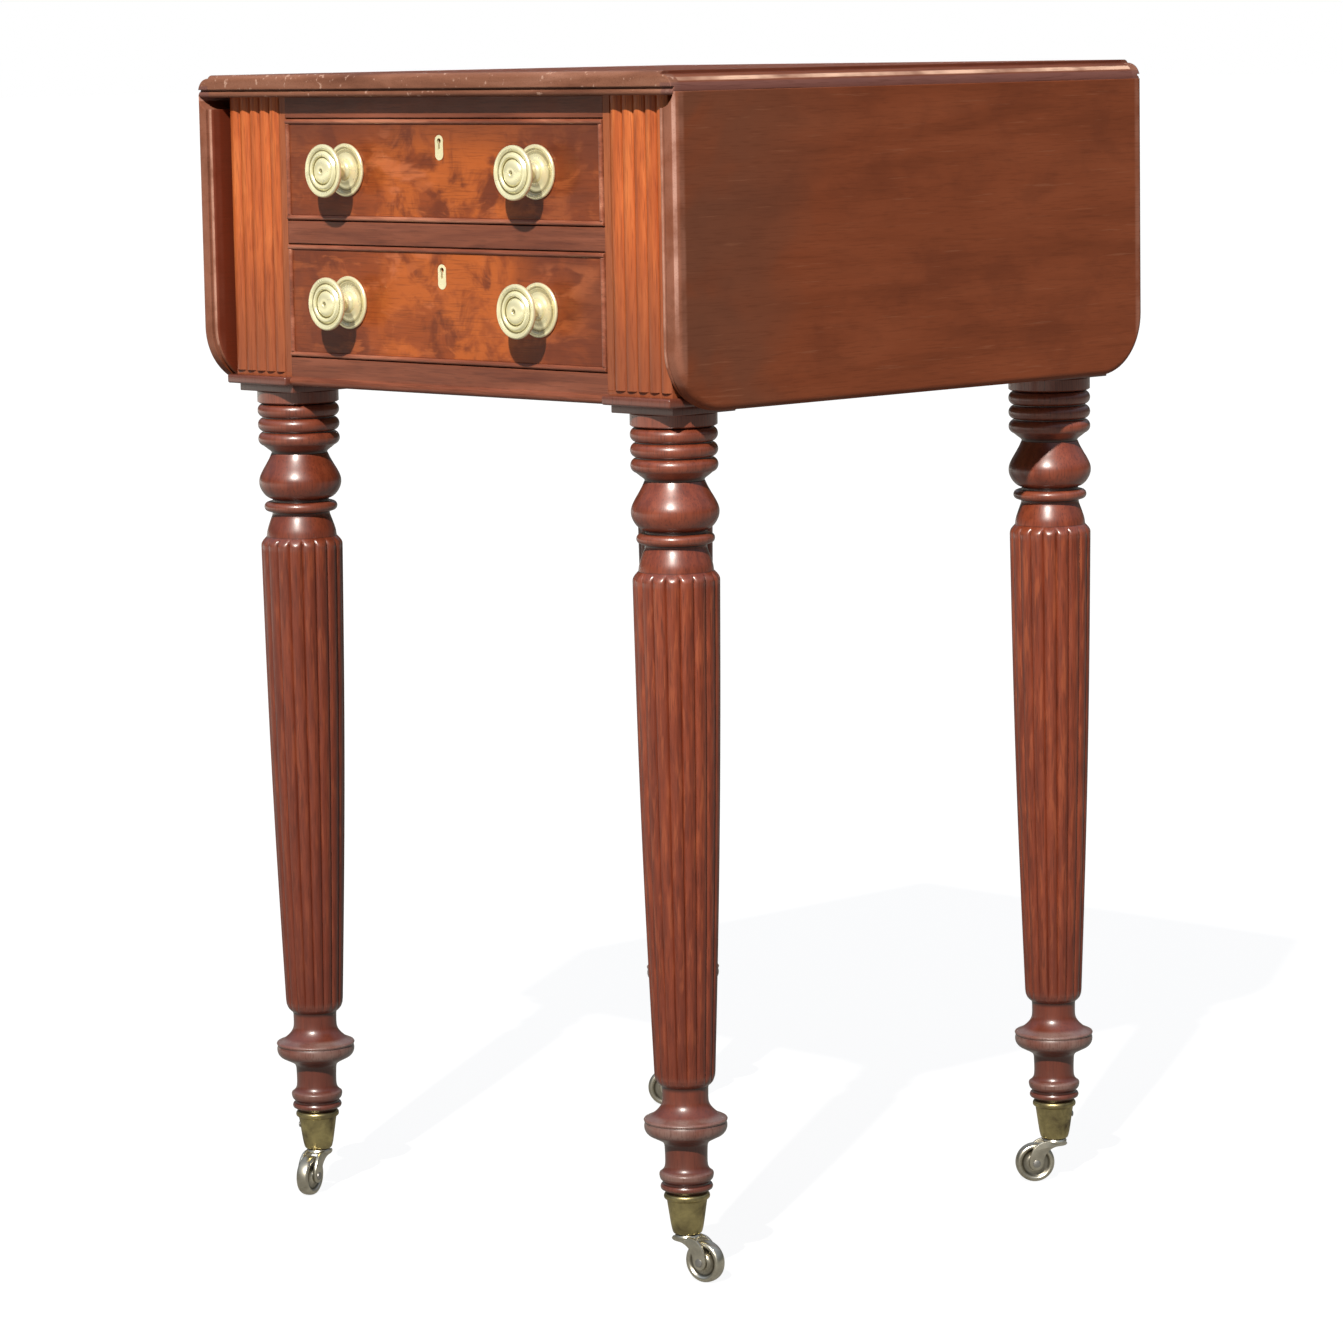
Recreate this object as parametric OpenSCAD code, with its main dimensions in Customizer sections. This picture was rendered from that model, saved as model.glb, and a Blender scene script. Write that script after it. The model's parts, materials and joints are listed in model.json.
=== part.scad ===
// Drop-leaf sewing table: two drawers, turned and reeded legs, brass casters.
// Millimetres, +Z up, front towards -Y, origin on the floor at the middle of the bounding box.

/* [Overall] */
// Height of the table top above the floor
table_h = 722; // [712:1:732]
// Depth of the top, front edge to back edge
top_d = 415; // [411:1:425]
// Thickness of the top and of both leaves
top_t = 14; // [14:0.5:15]
// Distance of each leaf hinge axis from the middle of the table
hinge_x = 204; // [204:0.5:208]
// Width of the carcass
carcass_w = 395; // [393:1:395]
// Depth of the carcass
carcass_d = 390; // [384:2:390]

/* [Leaves] */
// Width of a leaf from its hinge axis to its outer edge
leaf_w = 185.5; // [170:0.5:190]
// Radius of the outer corners of a leaf
leaf_corner_r = 38; // [30:1:50]
// Height of the hinge axis above the underside of the top
axis_up = 2.5; // [2.5:0.1:3]
// Height of the small step at the top of the rule joint
joint_step = 2; // [1.5:0.1:2.5]
// Working gap between leaf and top
joint_gap = 0.4; // [0.3:0.05:0.5]
// Distance of each hinge from the middle of its leaf
hinge_y = 120; // [100:5:130]

/* [Carcass] */
// Side of the square corner posts
post = 54; // [52:1:56]
// Height of the underside of the front rail and the panels
rail_z = 527.5; // [525:0.5:530]
// Height of the lower drawer opening's floor
low_z0 = 545.5; // [543:0.5:547]
// Height of the lower drawer opening's ceiling
low_z1 = 617; // [614:0.5:619]
// Height of the upper drawer opening's floor
up_z0 = 631; // [628:0.5:633]
// Height of the upper drawer opening's ceiling
up_z1 = 695; // [693:0.5:697]
// Thickness of the side and back panels
panel_t = 12; // [10:0.5:12]
// Depth of the front rails, front to back
rail_d = 50; // [40:1:54]

/* [Drawers] */
// Length of a drawer, front face to back
drawer_len = 350; // [320:5:360]
// Thickness of a drawer front
front_t = 18; // [16:0.5:20]
// Thickness of the drawer sides
lining_t = 9; // [8:0.5:10]
// Width of the cockbead strip round a drawer front
bead_w = 3; // [2.5:0.1:3.5]
// How far the cockbead stands in front of the drawer front
bead_proud = 1.5; // [1:0.1:1.8]
// Gap round a drawer front in its opening
drawer_gap = 0.75; // [0.5:0.05:1]
// Distance of each knob from the middle of the table
knob_x = 86; // [70:1:95]
// Radius of the knobs and of their roses
knob_r = 16.4; // [14:0.1:18]
// How far a knob reaches in front of the carcass
knob_reach = 21.5; // [20:0.5:25]

/* [Legs] */
// Radius of the three turned rings under the carcass
ring_r = 26; // [25:0.1:26.5]
// Radius of the reeded shaft at its shoulder
shaft_top_r = 26; // [25:0.1:26.5]
// Radius of the reeded shaft at its foot
shaft_foot_r = 18.4; // [18:0.1:19]
// Number of reeds round a leg
reed_count = 18; // [14:1:20]

/* [Casters] */
// Radius of a caster wheel
wheel_r = 12.7; // [12.4:0.1:12.8]
// Width of a caster wheel
wheel_w = 8; // [7:0.5:9]
// Distance of the wheel axle behind the swivel axis
trail = 13; // [12.5:0.1:13.5]
// Direction in which the front left caster trails at rest
trail_angle_fl = 292; // [0:1:360]
// Direction in which the front right caster trails at rest
trail_angle_fr = 8; // [0:1:360]
// Direction in which the back left caster trails at rest
trail_angle_bl = 226; // [0:1:360]
// Direction in which the back right caster trails at rest
trail_angle_br = 232; // [0:1:360]

/* [Hidden] */
$fn = 48;
eps = 0.02;

// Half sizes and main levels
half_w = carcass_w / 2;
half_d = carcass_d / 2;
under_z = table_h - top_t;
hinge_z = under_z + axis_up;
ovolo_r = top_t - axis_up - joint_step;
cove_r = ovolo_r + joint_gap;
leg_x = half_w - post / 2;
leg_y = half_d - post / 2;
open_x = half_w - post;
// The knobs reach further forward than the top reaches back, so everything moves back by half of that
y_shift = (half_d + knob_reach - top_d / 2) / 2;

// Levels of the turned leg, counted down from the rail's underside
ledge_h = 5.5;
ledge_side = 3.2;
ledge_front = 6;
slab_h = 5;
slab = post - 2;
neck_z = rail_z - slab_h;
ring_z = rail_z - 17.8;
ring_pitch = 9.1;
shoulder_z = rail_z - 103.5;
shaft_end_z = 127;
foot_z = 95;
cup_z0 = 28.3;
cup_z1 = 53.5;

// Moulded edge of top and leaves: a rounded upper edge, a flat, a quirk and a small bead below
rim_round_r = 4;
rim_bead_r = 2;
rim_bead_in = 0.8;
rim_quirk_in = 2.2;
rim_quirk_h = 0.9;

// Brass table hinges
plate_t = 1.6;
plate_half = 20;
knuckle_r = 2.4;
hinge_pin_r = 1.2;
knuckle_y = 7;
plate_start = 3.2;
top_plate_l = 30;
leaf_plate_l = 45;
screw_r = 1.6;
screw_l = 9;
top_screw_at = [[-24, -13], [-24, 13], [-12, 0]];
leaf_screw_at = [[16, 0], [36, -13], [36, 13]];

// Fly brackets in the side panels
bracket_t = 12;
bracket_h = 23.6;
bracket_l = 108;
bracket_pin_y = 48;
bracket_x = half_w - bracket_t / 2 - 0.5;
bracket_pin_r = 2;
notch_h = 24.3;

// Drawers
drawer_x = open_x - drawer_gap;
front_y = -half_d;
stud_r = 2.5;
running = 0.05;
bottom_lift = 7;
bottom_t = 5;
bottom_groove = 4;
lap = 8;
tray_wall = 4;
tray_h = 34;

// Casters
swivel_r = 3;
axle_r = 2;
disc_z = 25.4;
arm_t = 2;

/* ---- helpers ---- */
module place() { translate([0, y_shift, 0]) children(); }

module both_sides() {
    children();
    mirror([1, 0, 0]) children();
}

// A solid between two corner points
module block(low, high) { translate(low) cube(high - low); }

// Sideways extrusions: along Y of a drawing in (x, z), and along X of a drawing in (y, z)
module along_y(length) { translate([0, length / 2, 0]) rotate([90, 0, 0]) linear_extrude(length) children(); }
module along_x(length) { rotate([90, 0, 90]) linear_extrude(length) children(); }

module rod_y(r, y0, y1) { translate([0, y0, 0]) rotate([-90, 0, 0]) cylinder(r = r, h = y1 - y0); }

// Countersunk wood screw pointing up, its head's face at z = 0
module screw(r, length) {
    cylinder(r1 = 2 * r, r2 = r, h = r);
    cylinder(r = r, h = length);
}

module slotted_screw(r, length) {
    difference() {
        screw(r, length);
        block([-2 * r, -0.35, -1], [2 * r, 0.35, 0.5]);
    }
}

/* ---- moulded edge, top and leaves ---- */
// Cross-section of the edge strip: x from -depth to 0 outwards, y from 0 to top_t
module rim_section(depth) {
    flat_y = 2 * rim_bead_r + rim_quirk_h;
    back = rim_round_r + eps;
    translate([-depth, 0]) square([depth - rim_round_r, top_t]);
    translate([-rim_round_r, top_t - rim_round_r]) circle(r = rim_round_r);
    translate([-back, flat_y]) square([back, top_t - rim_round_r - flat_y]);
    translate([-back, rim_bead_r]) square([back - rim_quirk_in, flat_y - rim_bead_r + eps]);
    translate([-rim_bead_in - rim_bead_r, rim_bead_r]) circle(r = rim_bead_r);
    translate([-back, 0]) square([back - rim_bead_in - rim_bead_r, 2 * rim_bead_r]);
}

// Front and back edges of a board whose depth is top_d
module depth_section() {
    translate([-(top_d / 2 - leaf_corner_r), 0]) square([top_d - 2 * leaf_corner_r, top_t]);
    for (s = [0, 1]) mirror([s, 0]) translate([top_d / 2, 0]) rim_section(leaf_corner_r + eps);
}

// Rule-joint section of the fixed top in (x, z)
module joint_section() {
    translate([-hinge_x, 0]) square([2 * hinge_x, top_t]);
    for (s = [0, 1]) mirror([s, 0]) {
        translate([hinge_x, 0]) intersection() {
            translate([0, axis_up]) circle(r = ovolo_r);
            square([ovolo_r, top_t]);
        }
        translate([hinge_x - eps, 0]) square([ovolo_r - joint_gap + eps, axis_up]);
    }
}

module at_hinges() {
    for (s = [-1, 1]) translate([hinge_x, s * hinge_y, hinge_z]) children();
}

// Room for one hinge in the underside of the top
module top_hinge_recess() {
    block([-top_plate_l, -plate_half, -axis_up - 1], [-plate_start, plate_half, -axis_up + plate_t]);
    block([-plate_start - eps, -plate_half - 0.4, -axis_up - 1], [cove_r + 1, plate_half + 0.4, -0.5]);
    rod_y(knuckle_r + 0.4, -plate_half - 0.4, plate_half + 0.4);
}

module top_panel() {
    color("sienna") place() difference() {
        translate([0, 0, under_z]) intersection() {
            along_y(top_d + 2) joint_section();
            translate([-hinge_x - 20, 0, 0]) along_x(2 * hinge_x + 40) depth_section();
        }
        both_sides() {
            at_hinges() {
                top_hinge_recess();
                for (p = top_screw_at) translate([p.x, p.y, -axis_up]) cylinder(r = screw_r, h = screw_l);
            }
            for (y = cleat_screw_y) translate([cleat_screw_x, y, under_z - 1]) cylinder(r = 2, h = 9);
            translate([bracket_x, bracket_pin_y, under_z - 1]) cylinder(r = bracket_pin_r, h = 5);
        }
    }
}

// Right leaf in its raised position, its hinge axis on the Y axis
module leaf_raised() {
    inner_y = top_d / 2 - leaf_corner_r;
    difference() {
        translate([0, 0, -axis_up]) {
            along_x(leaf_w - leaf_corner_r) depth_section();
            translate([leaf_w, 0, 0]) along_y(2 * inner_y) rim_section(leaf_corner_r + eps);
            for (s = [-1, 1]) translate([leaf_w - leaf_corner_r, s * inner_y, 0])
                rotate_extrude() intersection() {
                    translate([leaf_corner_r, 0]) rim_section(leaf_corner_r);
                    square([leaf_corner_r, top_t]);
                }
        }
        block([-1, -top_d, -top_t], [joint_gap, top_d, top_t]);
        block([-1, -top_d, -top_t], [cove_r, top_d, 0]);
        rod_y(cove_r, -top_d, top_d);
        for (s = [-1, 1]) translate([0, s * hinge_y, 0]) {
            block([cove_r - 1, -plate_half, -axis_up - 1], [leaf_plate_l, plate_half, -axis_up + plate_t]);
            for (p = leaf_screw_at) translate([p.x, p.y, -axis_up]) cylinder(r = screw_r, h = screw_l);
        }
    }
}

// The leaf hangs straight down: raised position turned a quarter about the hinge axis
module hang(side) {
    place() mirror([side < 0 ? 1 : 0, 0, 0])
        translate([hinge_x, 0, hinge_z]) rotate([0, 90, 0]) children();
}

module leaf(side) { color("saddlebrown") hang(side) leaf_raised(); }

module leaf_plate() {
    difference() {
        union() {
            block([plate_start, -plate_half, -axis_up], [leaf_plate_l, plate_half, -axis_up + plate_t]);
            block([0, -knuckle_y + 0.3, -axis_up], [plate_start + 1, knuckle_y - 0.3, -axis_up + plate_t]);
            rod_y(knuckle_r, -knuckle_y + 0.3, knuckle_y - 0.3);
        }
        rod_y(hinge_pin_r + running, -knuckle_y, knuckle_y);
        for (p = leaf_screw_at) translate([p.x, p.y, -axis_up]) screw(screw_r, screw_l);
    }
}

module leaf_hinges(side) {
    color("goldenrod") hang(side) for (s = [-1, 1]) translate([0, s * hinge_y, 0]) leaf_plate();
}

module leaf_screws(side) {
    color("gray") hang(side) for (s = [-1, 1], p = leaf_screw_at)
        translate([p.x, s * hinge_y + p.y, -axis_up]) slotted_screw(screw_r, screw_l);
}

module top_plate() {
    difference() {
        union() {
            block([-top_plate_l, -plate_half, -axis_up], [-plate_start, plate_half, -axis_up + plate_t]);
            for (s = [0, 1]) mirror([0, s, 0]) {
                block([-plate_start - 1, knuckle_y, -axis_up], [0, plate_half, -axis_up + plate_t]);
                rod_y(knuckle_r, knuckle_y, plate_half);
            }
        }
        rod_y(hinge_pin_r, -plate_half - 1, plate_half + 1);
        for (p = top_screw_at) translate([p.x, p.y, -axis_up]) screw(screw_r, screw_l);
    }
}

module top_hinge_plates() { color("goldenrod") place() both_sides() at_hinges() top_plate(); }

module leaf_hinge_pins() {
    color("gray") place() both_sides() at_hinges() rod_y(hinge_pin_r, -plate_half, plate_half);
}

module top_hinge_screws() {
    color("gray") place() both_sides() at_hinges()
        for (p = top_screw_at) translate([p.x, p.y, -axis_up]) slotted_screw(screw_r, screw_l);
}

/* ---- legs ---- */
reed_zone = 48;
post_reeds = 5;
post_reed_r = 5;
post_reed_out = 2;
post_reed_z = rail_z + 8.5;

// Square post with its front face reeded beside a plain inner strip; outer corner at +x, -y
module corner_post() {
    pitch = reed_zone / post_reeds;
    translate([-post / 2, -post / 2, rail_z]) cube([post, post, under_z - rail_z]);
    for (i = [0 : post_reeds - 1])
        translate([post / 2 - pitch * (i + 0.5), -post / 2 + post_reed_r - post_reed_out, post_reed_z])
            cylinder(r = post_reed_r, h = under_z - post_reed_z);
    block([-post / 2, -post / 2 - ledge_front, rail_z], [post / 2 + ledge_side, post / 2, rail_z + ledge_h]);
    translate([-slab / 2, -slab / 2, neck_z]) cube([slab, slab, slab_h + eps]);
}

// Half outline of the turned part in (radius, height)
module turned_section() {
    translate([0, ring_z]) square([ring_r, neck_z - ring_z + eps]);
    for (i = [0 : 2]) translate([ring_r - 6, ring_z - i * ring_pitch]) circle(r = 6);
    translate([0, ring_z - 2 * ring_pitch]) square([ring_r - 6, 2 * ring_pitch]);
    // Cove, ball, collar and flare down to the shoulder
    translate([0, shoulder_z]) square([17.8, ring_z - 2 * ring_pitch - shoulder_z]);
    translate([0, ring_z - 2 * ring_pitch - 6.5]) square([20.4, 3]);
    translate([12.4, shoulder_z + 40.6]) circle(r = 13.8);
    translate([19.9, shoulder_z + 24]) circle(r = 3.1);
    difference() {
        translate([0, shoulder_z]) square([shaft_top_r, 21.2]);
        translate([29.2, shoulder_z + 13.6]) circle(r = 8.2);
        translate([21.4, shoulder_z + 13.6]) square([10, 10]);
    }
    // Tapered shaft, slightly fuller in its middle
    polygon([
        [0, shaft_end_z], [shaft_foot_r, shaft_end_z], [20.3, 171], [22.1, 231], [23.8, 292],
        [25.2, 360], [shaft_top_r, shoulder_z], [0, shoulder_z]
    ]);
    // Foot ring between two waists
    polygon([[0, 80], [15, 84], [14.7, 116], [shaft_foot_r - 0.6, shaft_end_z], [0, shaft_end_z]]);
    translate([18.3, foot_z]) circle(r = 6.9);
    translate([0, foot_z - 5]) square([18.3, 9]);
    polygon([[0, 58], [12.9, 66], [12.9, 74.5], [15.2, 84], [18.5, foot_z - 5], [0, foot_z - 3]]);
    translate([11.7, 60.5]) circle(r = 4.5);
    translate([0, cup_z1]) square([13.3, 9]);
    // Tapered end that fills the brass cup
    polygon([[0, cup_z0 + 3], [8.4, cup_z0 + 3], [11.9, cup_z1 + eps], [0, cup_z1 + eps]]);
}

module turned_leg() {
    quirk_top = shoulder_z - 8;
    quirk_low = shaft_end_z + 8;
    lean = atan((shaft_top_r - shaft_foot_r) / (shoulder_z - shaft_end_z));
    difference() {
        rotate_extrude() intersection() {
            turned_section();
            translate([0, cup_z0]) square([60, neck_z + eps - cup_z0]);
        }
        // Narrow quirks that part the reeds
        for (i = [0 : reed_count - 1])
            rotate([0, 0, (i + 0.5) * 360 / reed_count])
                translate([shaft_foot_r + 0.5, 0, quirk_low]) rotate([0, lean, 0])
                    cylinder(r = 1.3, h = quirk_top - quirk_low, $fn = 24);
        translate([0, 0, cup_z0]) cylinder(r = swivel_r + running, h = 17);
    }
}

module leg(sx, sy) {
    color("brown") place() mirror([sx < 0 ? 1 : 0, 0, 0]) mirror([0, sy > 0 ? 1 : 0, 0])
        translate([leg_x, -leg_y, 0]) {
            corner_post();
            turned_leg();
        }
}

/* ---- carcass boards ---- */
side_x1 = half_w - 2;
side_x0 = side_x1 - panel_t;
cleat_screw_x = side_x0 - 16;
cleat_screw_y = [-100, 100];

module side_panels() {
    color("saddlebrown") place() both_sides() difference() {
        block([side_x0, -half_d + post, rail_z], [side_x1, half_d - post, under_z]);
        block([side_x0 - 1, bracket_pin_y - bracket_l - 4, under_z - notch_h],
            [side_x1 + 1, bracket_pin_y + bracket_t / 2 + 1, under_z + 1]);
        translate([bracket_x, bracket_pin_y, under_z - notch_h - 8]) cylinder(r = bracket_pin_r, h = 20);
    }
}

module back_panel() {
    color("saddlebrown") place() {
        block([-open_x, half_d - 2 - panel_t, rail_z], [open_x, half_d - 2, under_z]);
        translate([-open_x, half_d - 2.6, rail_z + ledge_h / 2]) rotate([0, 90, 0])
            cylinder(r = ledge_h / 2, h = 2 * open_x);
    }
}

module front_rail(z0, z1) {
    block([-open_x, -half_d, z0], [open_x, -half_d + rail_d, z1]);
}

module top_rail() { color("peru") place() front_rail(up_z1, under_z); }

module middle_rail() { color("peru") place() front_rail(low_z1, up_z0); }

module bottom_rail() {
    color("peru") place() {
        front_rail(rail_z, low_z0);
        translate([-open_x, -half_d + 0.6, rail_z + ledge_h / 2]) rotate([0, 90, 0])
            cylinder(r = ledge_h / 2, h = 2 * open_x);
    }
}

// Runner with its guide strip, for the drawer whose opening's floor is at z0
module runner(z0) {
    inner_x = open_x - 18;
    y0 = -half_d + rail_d;
    y1 = half_d - 2 - panel_t;
    block([inner_x, y0, z0 - 12], [open_x, y1, z0]);
    block([open_x - eps, -half_d + post, z0 - 12], [side_x0, half_d - post, z0]);
    block([open_x, -half_d + post, z0 - eps], [open_x + 12, half_d - post, z0 + 20]);
}

module drawer_runners() {
    color("tan") place() both_sides() {
        runner(low_z0);
        runner(up_z0);
    }
}

module drawer_stops() {
    color("tan") place() both_sides() for (z0 = [low_z0, up_z0])
        block([50, -half_d + front_t + 0.3, z0], [74, -half_d + front_t + 16, z0 + 4]);
}

module top_cleats() {
    color("tan") place() both_sides() difference() {
        block([open_x + 6, -half_d + post, under_z - 12], [side_x0, half_d - post, under_z]);
        for (y = cleat_screw_y) translate([cleat_screw_x, y, under_z - 12]) screw(2, 20);
    }
}

module top_screws() {
    color("gray") place() both_sides() for (y = cleat_screw_y)
        translate([cleat_screw_x, y, under_z - 12]) slotted_screw(2, 20);
}

/* ---- fly brackets ---- */
// Seen from the side: a deep knuckle at the pin, an ogee lower edge and a plain tip
module bracket_outline() {
    difference() {
        translate([-bracket_l, 0]) square([bracket_l, bracket_h]);
        translate([-bracket_l * 0.62, -6]) circle(r = 19);
        translate([-bracket_l - 1, -1]) square([bracket_l * 0.38 + 1, 12.5]);
    }
}

module bracket(side) {
    color("peru") place() mirror([side < 0 ? 1 : 0, 0, 0])
        translate([bracket_x, bracket_pin_y, under_z - 0.4 - bracket_h]) difference() {
            union() {
                translate([-bracket_t / 2, 0, 0]) along_x(bracket_t) bracket_outline();
                cylinder(r = bracket_t / 2, h = bracket_h);
            }
            translate([0, 0, -1]) cylinder(r = bracket_pin_r + running, h = bracket_h + 2);
        }
}

module bracket_pins() {
    color("gray") place() both_sides()
        translate([bracket_x, bracket_pin_y, under_z - notch_h - 8])
            cylinder(r = bracket_pin_r, h = notch_h + 12);
}

/* ---- drawers: z0 and z1 are the floor and ceiling of the opening ---- */
module keyhole() {
    circle(r = 1.7);
    translate([-0.9, -5]) square([1.8, 5]);
}

// Oblong plate with round ends, its keyhole near the top
module escutcheon_outline() {
    circle(r = 3.6);
    translate([-3.5, -8]) square([7, 8]);
    translate([0, -8]) circle(r = 3.6);
}

module on_front(z1, y) { translate([0, y, z1 - 14]) rotate([90, 0, 0]) children(); }

module at_knobs(z0, z1) {
    for (s = [-1, 1]) translate([s * knob_x, front_y, (z0 + z1) / 2]) rotate([90, 0, 0]) children();
}

module drawer_front(z0, z1) {
    x = drawer_x;
    low = z0 + drawer_gap;
    high = z1 - drawer_gap;
    bead_y = front_y + 6.5;
    color("chocolate") place() difference() {
        union() {
            block([-x + bead_w, front_y, low + bead_w], [x - bead_w, bead_y + eps, high - bead_w]);
            block([-x, bead_y, low], [x, front_y + front_t, high]);
        }
        for (s = [0, 1]) mirror([s, 0, 0])
            block([x - lining_t, front_y + front_t - lap, low - 1], [x + 1, front_y + front_t + 1, high - 3]);
        block([-x + lining_t - bottom_groove, front_y + front_t - bottom_groove, z0 + bottom_lift],
            [x - lining_t + bottom_groove, front_y + front_t + 1, z0 + bottom_lift + bottom_t]);
        at_knobs(z0, z1) translate([0, 0, -front_t - 1]) cylinder(r = stud_r, h = front_t + 2);
        on_front(z1, front_y + 1.5) linear_extrude(3) escutcheon_outline();
        on_front(z1, front_y + front_t + 1) linear_extrude(front_t) keyhole();
    }
}

module drawer_sides(z0, z1) {
    color("tan") place() both_sides() difference() {
        block([drawer_x - lining_t, front_y + front_t - lap, z0 + 0.4],
            [drawer_x, front_y + drawer_len, z1 - drawer_gap - 3]);
        block([drawer_x - lining_t - 1, front_y, z0 + bottom_lift],
            [drawer_x - lining_t + bottom_groove, front_y + drawer_len + 1, z0 + bottom_lift + bottom_t]);
    }
}

module drawer_back(z0, z1) {
    color("tan") place()
        block([-drawer_x + lining_t, front_y + drawer_len - 8, z0 + bottom_lift + bottom_t],
            [drawer_x - lining_t, front_y + drawer_len, z1 - 9]);
}

module drawer_bottom(z0) {
    x = drawer_x - lining_t + bottom_groove;
    color("burlywood") place() difference() {
        block([-x, front_y + front_t - bottom_groove, z0 + bottom_lift],
            [x, front_y + drawer_len, z0 + bottom_lift + bottom_t]);
        for (s = [0, 1]) mirror([s, 0, 0])
            block([drawer_x - lining_t, front_y, z0], [x + 1, front_y + front_t - lap, z0 + 20]);
    }
}

module cockbead(z0, z1) {
    x = drawer_x;
    y0 = front_y - bead_proud + bead_w / 2;
    y1 = front_y + 6.5;
    low = z0 + drawer_gap;
    high = z1 - drawer_gap;
    color("rosybrown") place() {
        for (z = [low, high - bead_w]) {
            block([-x, y0, z], [x, y1, z + bead_w]);
            translate([-x, y0, z + bead_w / 2]) rotate([0, 90, 0]) cylinder(r = bead_w / 2, h = 2 * x);
        }
        for (s = [0, 1]) mirror([s, 0, 0]) {
            block([x - bead_w, y0, low + bead_w], [x, y1, high - bead_w]);
            translate([x - bead_w / 2, y0, low + bead_w]) cylinder(r = bead_w / 2, h = high - low - 2 * bead_w);
        }
    }
}

// Turned knob drawn along +z from the drawer front: stud, waisted neck, ringed disc
module knob() {
    front = knob_reach;
    translate([0, 0, -front_t - 5]) cylinder(r = stud_r, h = front_t + 9);
    rotate_extrude() difference() {
        union() {
            translate([0, 2.4]) square([4.6, front - 6]);
            translate([0, 2.4]) square([6.4, 1.6]);
            polygon([[0, front - 8], [4.6, front - 8], [9, front - 4.4], [knob_r - 1.6, front - 4], [0, front - 2]]);
            translate([0, front - 4.2]) square([knob_r - 1.6, 2.7]);
            translate([knob_r - 1.6, front - 2.5]) circle(r = 1.6);
            translate([0, front - 2.5]) square([9.4, 1.7]);
            translate([7.9, front - 1.5]) circle(r = 1.5);
            translate([0, front - 2]) square([5, 1.6]);
        }
        translate([5.9, front + 0.4]) circle(r = 1.1);
        translate([11.6, front - 0.6]) circle(r = 1.3);
    }
}

// Round rose behind the knob
module rose() {
    rotate_extrude() difference() {
        union() {
            square([knob_r, 1.2]);
            translate([knob_r - 1.2, 1.2]) circle(r = 1.1);
            square([8, 2.4]);
        }
        square([stud_r, 5]);
        translate([11.5, 2]) circle(r = 1.3);
        translate([0, -3]) square([20, 3]);
    }
}

module nut() {
    difference() {
        cylinder(r = 5, h = 3, $fn = 6);
        translate([0, 0, -1]) cylinder(r = stud_r, h = 5);
    }
}

module knobs(z0, z1) { color("khaki") place() at_knobs(z0, z1) knob(); }
module roses(z0, z1) { color("khaki") place() at_knobs(z0, z1) rose(); }
module nuts(z0, z1) { color("goldenrod") place() at_knobs(z0, z1) translate([0, 0, -front_t - 3]) nut(); }

module escutcheon(z1) {
    color("khaki") place() on_front(z1, front_y + 1.5) linear_extrude(1.7) difference() {
        escutcheon_outline();
        keyhole();
    }
}

// Brass lock on the inside of the front: plate, case and bolt, drawn back
module lock(z1) {
    top = z1 - drawer_gap;
    y0 = front_y + front_t;
    color("goldenrod") place() difference() {
        union() {
            block([-30, y0, top - 34], [30, y0 + 1.6, top]);
            block([-22, y0 + 1.6 - eps, top - 30], [22, y0 + 9, top - 2]);
            block([-6, y0 + 3, top - 2 - eps], [6, y0 + 7, top - 0.4]);
        }
        on_front(z1, y0 + 4) linear_extrude(5) keyhole();
    }
}

// Partitions of the fitted upper drawer: three bays in front, two behind
module tray() {
    z = up_z0 + bottom_lift + bottom_t;
    y0 = front_y + front_t + 9.5;
    y1 = front_y + drawer_len - 8;
    y_mid = -10;
    x = drawer_x - lining_t;
    color("burlywood") place() {
        block([-x, y_mid, z], [x, y_mid + tray_wall, z + tray_h]);
        block([-x, y0, z], [x, y0 + tray_wall, z + tray_h]);
        for (s = [-1, 1]) translate([s * x / 3, 0, 0])
            block([-tray_wall / 2, y0 + tray_wall - eps, z], [tray_wall / 2, y_mid + eps, z + tray_h]);
        block([-tray_wall / 2, y_mid + tray_wall - eps, z], [tray_wall / 2, y1, z + tray_h]);
    }
}

/* ---- casters: drawn trailing along +x about the swivel axis ---- */
module at_leg(sx, sy) { place() translate([sx * leg_x, sy * leg_y, 0]) children(); }

module caster_cup() {
    difference() {
        union() {
            translate([0, 0, cup_z0]) cylinder(r1 = 9.7, r2 = 13.2, h = cup_z1 - cup_z0);
            translate([0, 0, cup_z1 - 2.4]) cylinder(r = 13.8, h = 2.4);
        }
        translate([0, 0, cup_z0 + 3]) cylinder(r1 = 8.4, r2 = 11.9, h = cup_z1 - cup_z0 - 3 + eps);
        translate([0, 0, cup_z0 - 1]) cylinder(r = swivel_r + running, h = 6);
    }
}

module caster_cups() { color("olive") for (sx = [-1, 1], sy = [-1, 1]) at_leg(sx, sy) caster_cup(); }

// One arm of the fork as a flat outline in (x, z)
module arm_outline() {
    polygon([[-7, 28], [7.5, 28], [14.5, 21], [trail + 4.2, wheel_r + 1], [trail - 3.9, wheel_r - 1.5], [-3, 21]]);
    translate([trail, wheel_r]) circle(r = 4.4);
}

module fork() {
    gap = wheel_w / 2 + 0.5;
    difference() {
        union() {
            translate([0, 0, disc_z]) cylinder(r = 8, h = 28 - disc_z);
            translate([0, 0, 27]) cylinder(r = swivel_r, h = 17.5);
            for (s = [-1, 1]) translate([0, s * (gap + arm_t / 2), 0]) along_y(arm_t) arm_outline();
        }
        translate([trail, 0, wheel_r]) rod_y(axle_r, -20, 20);
    }
}

module axle() { translate([trail, 0, wheel_r]) rod_y(axle_r, -wheel_w / 2 - 3, wheel_w / 2 + 3); }

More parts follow.
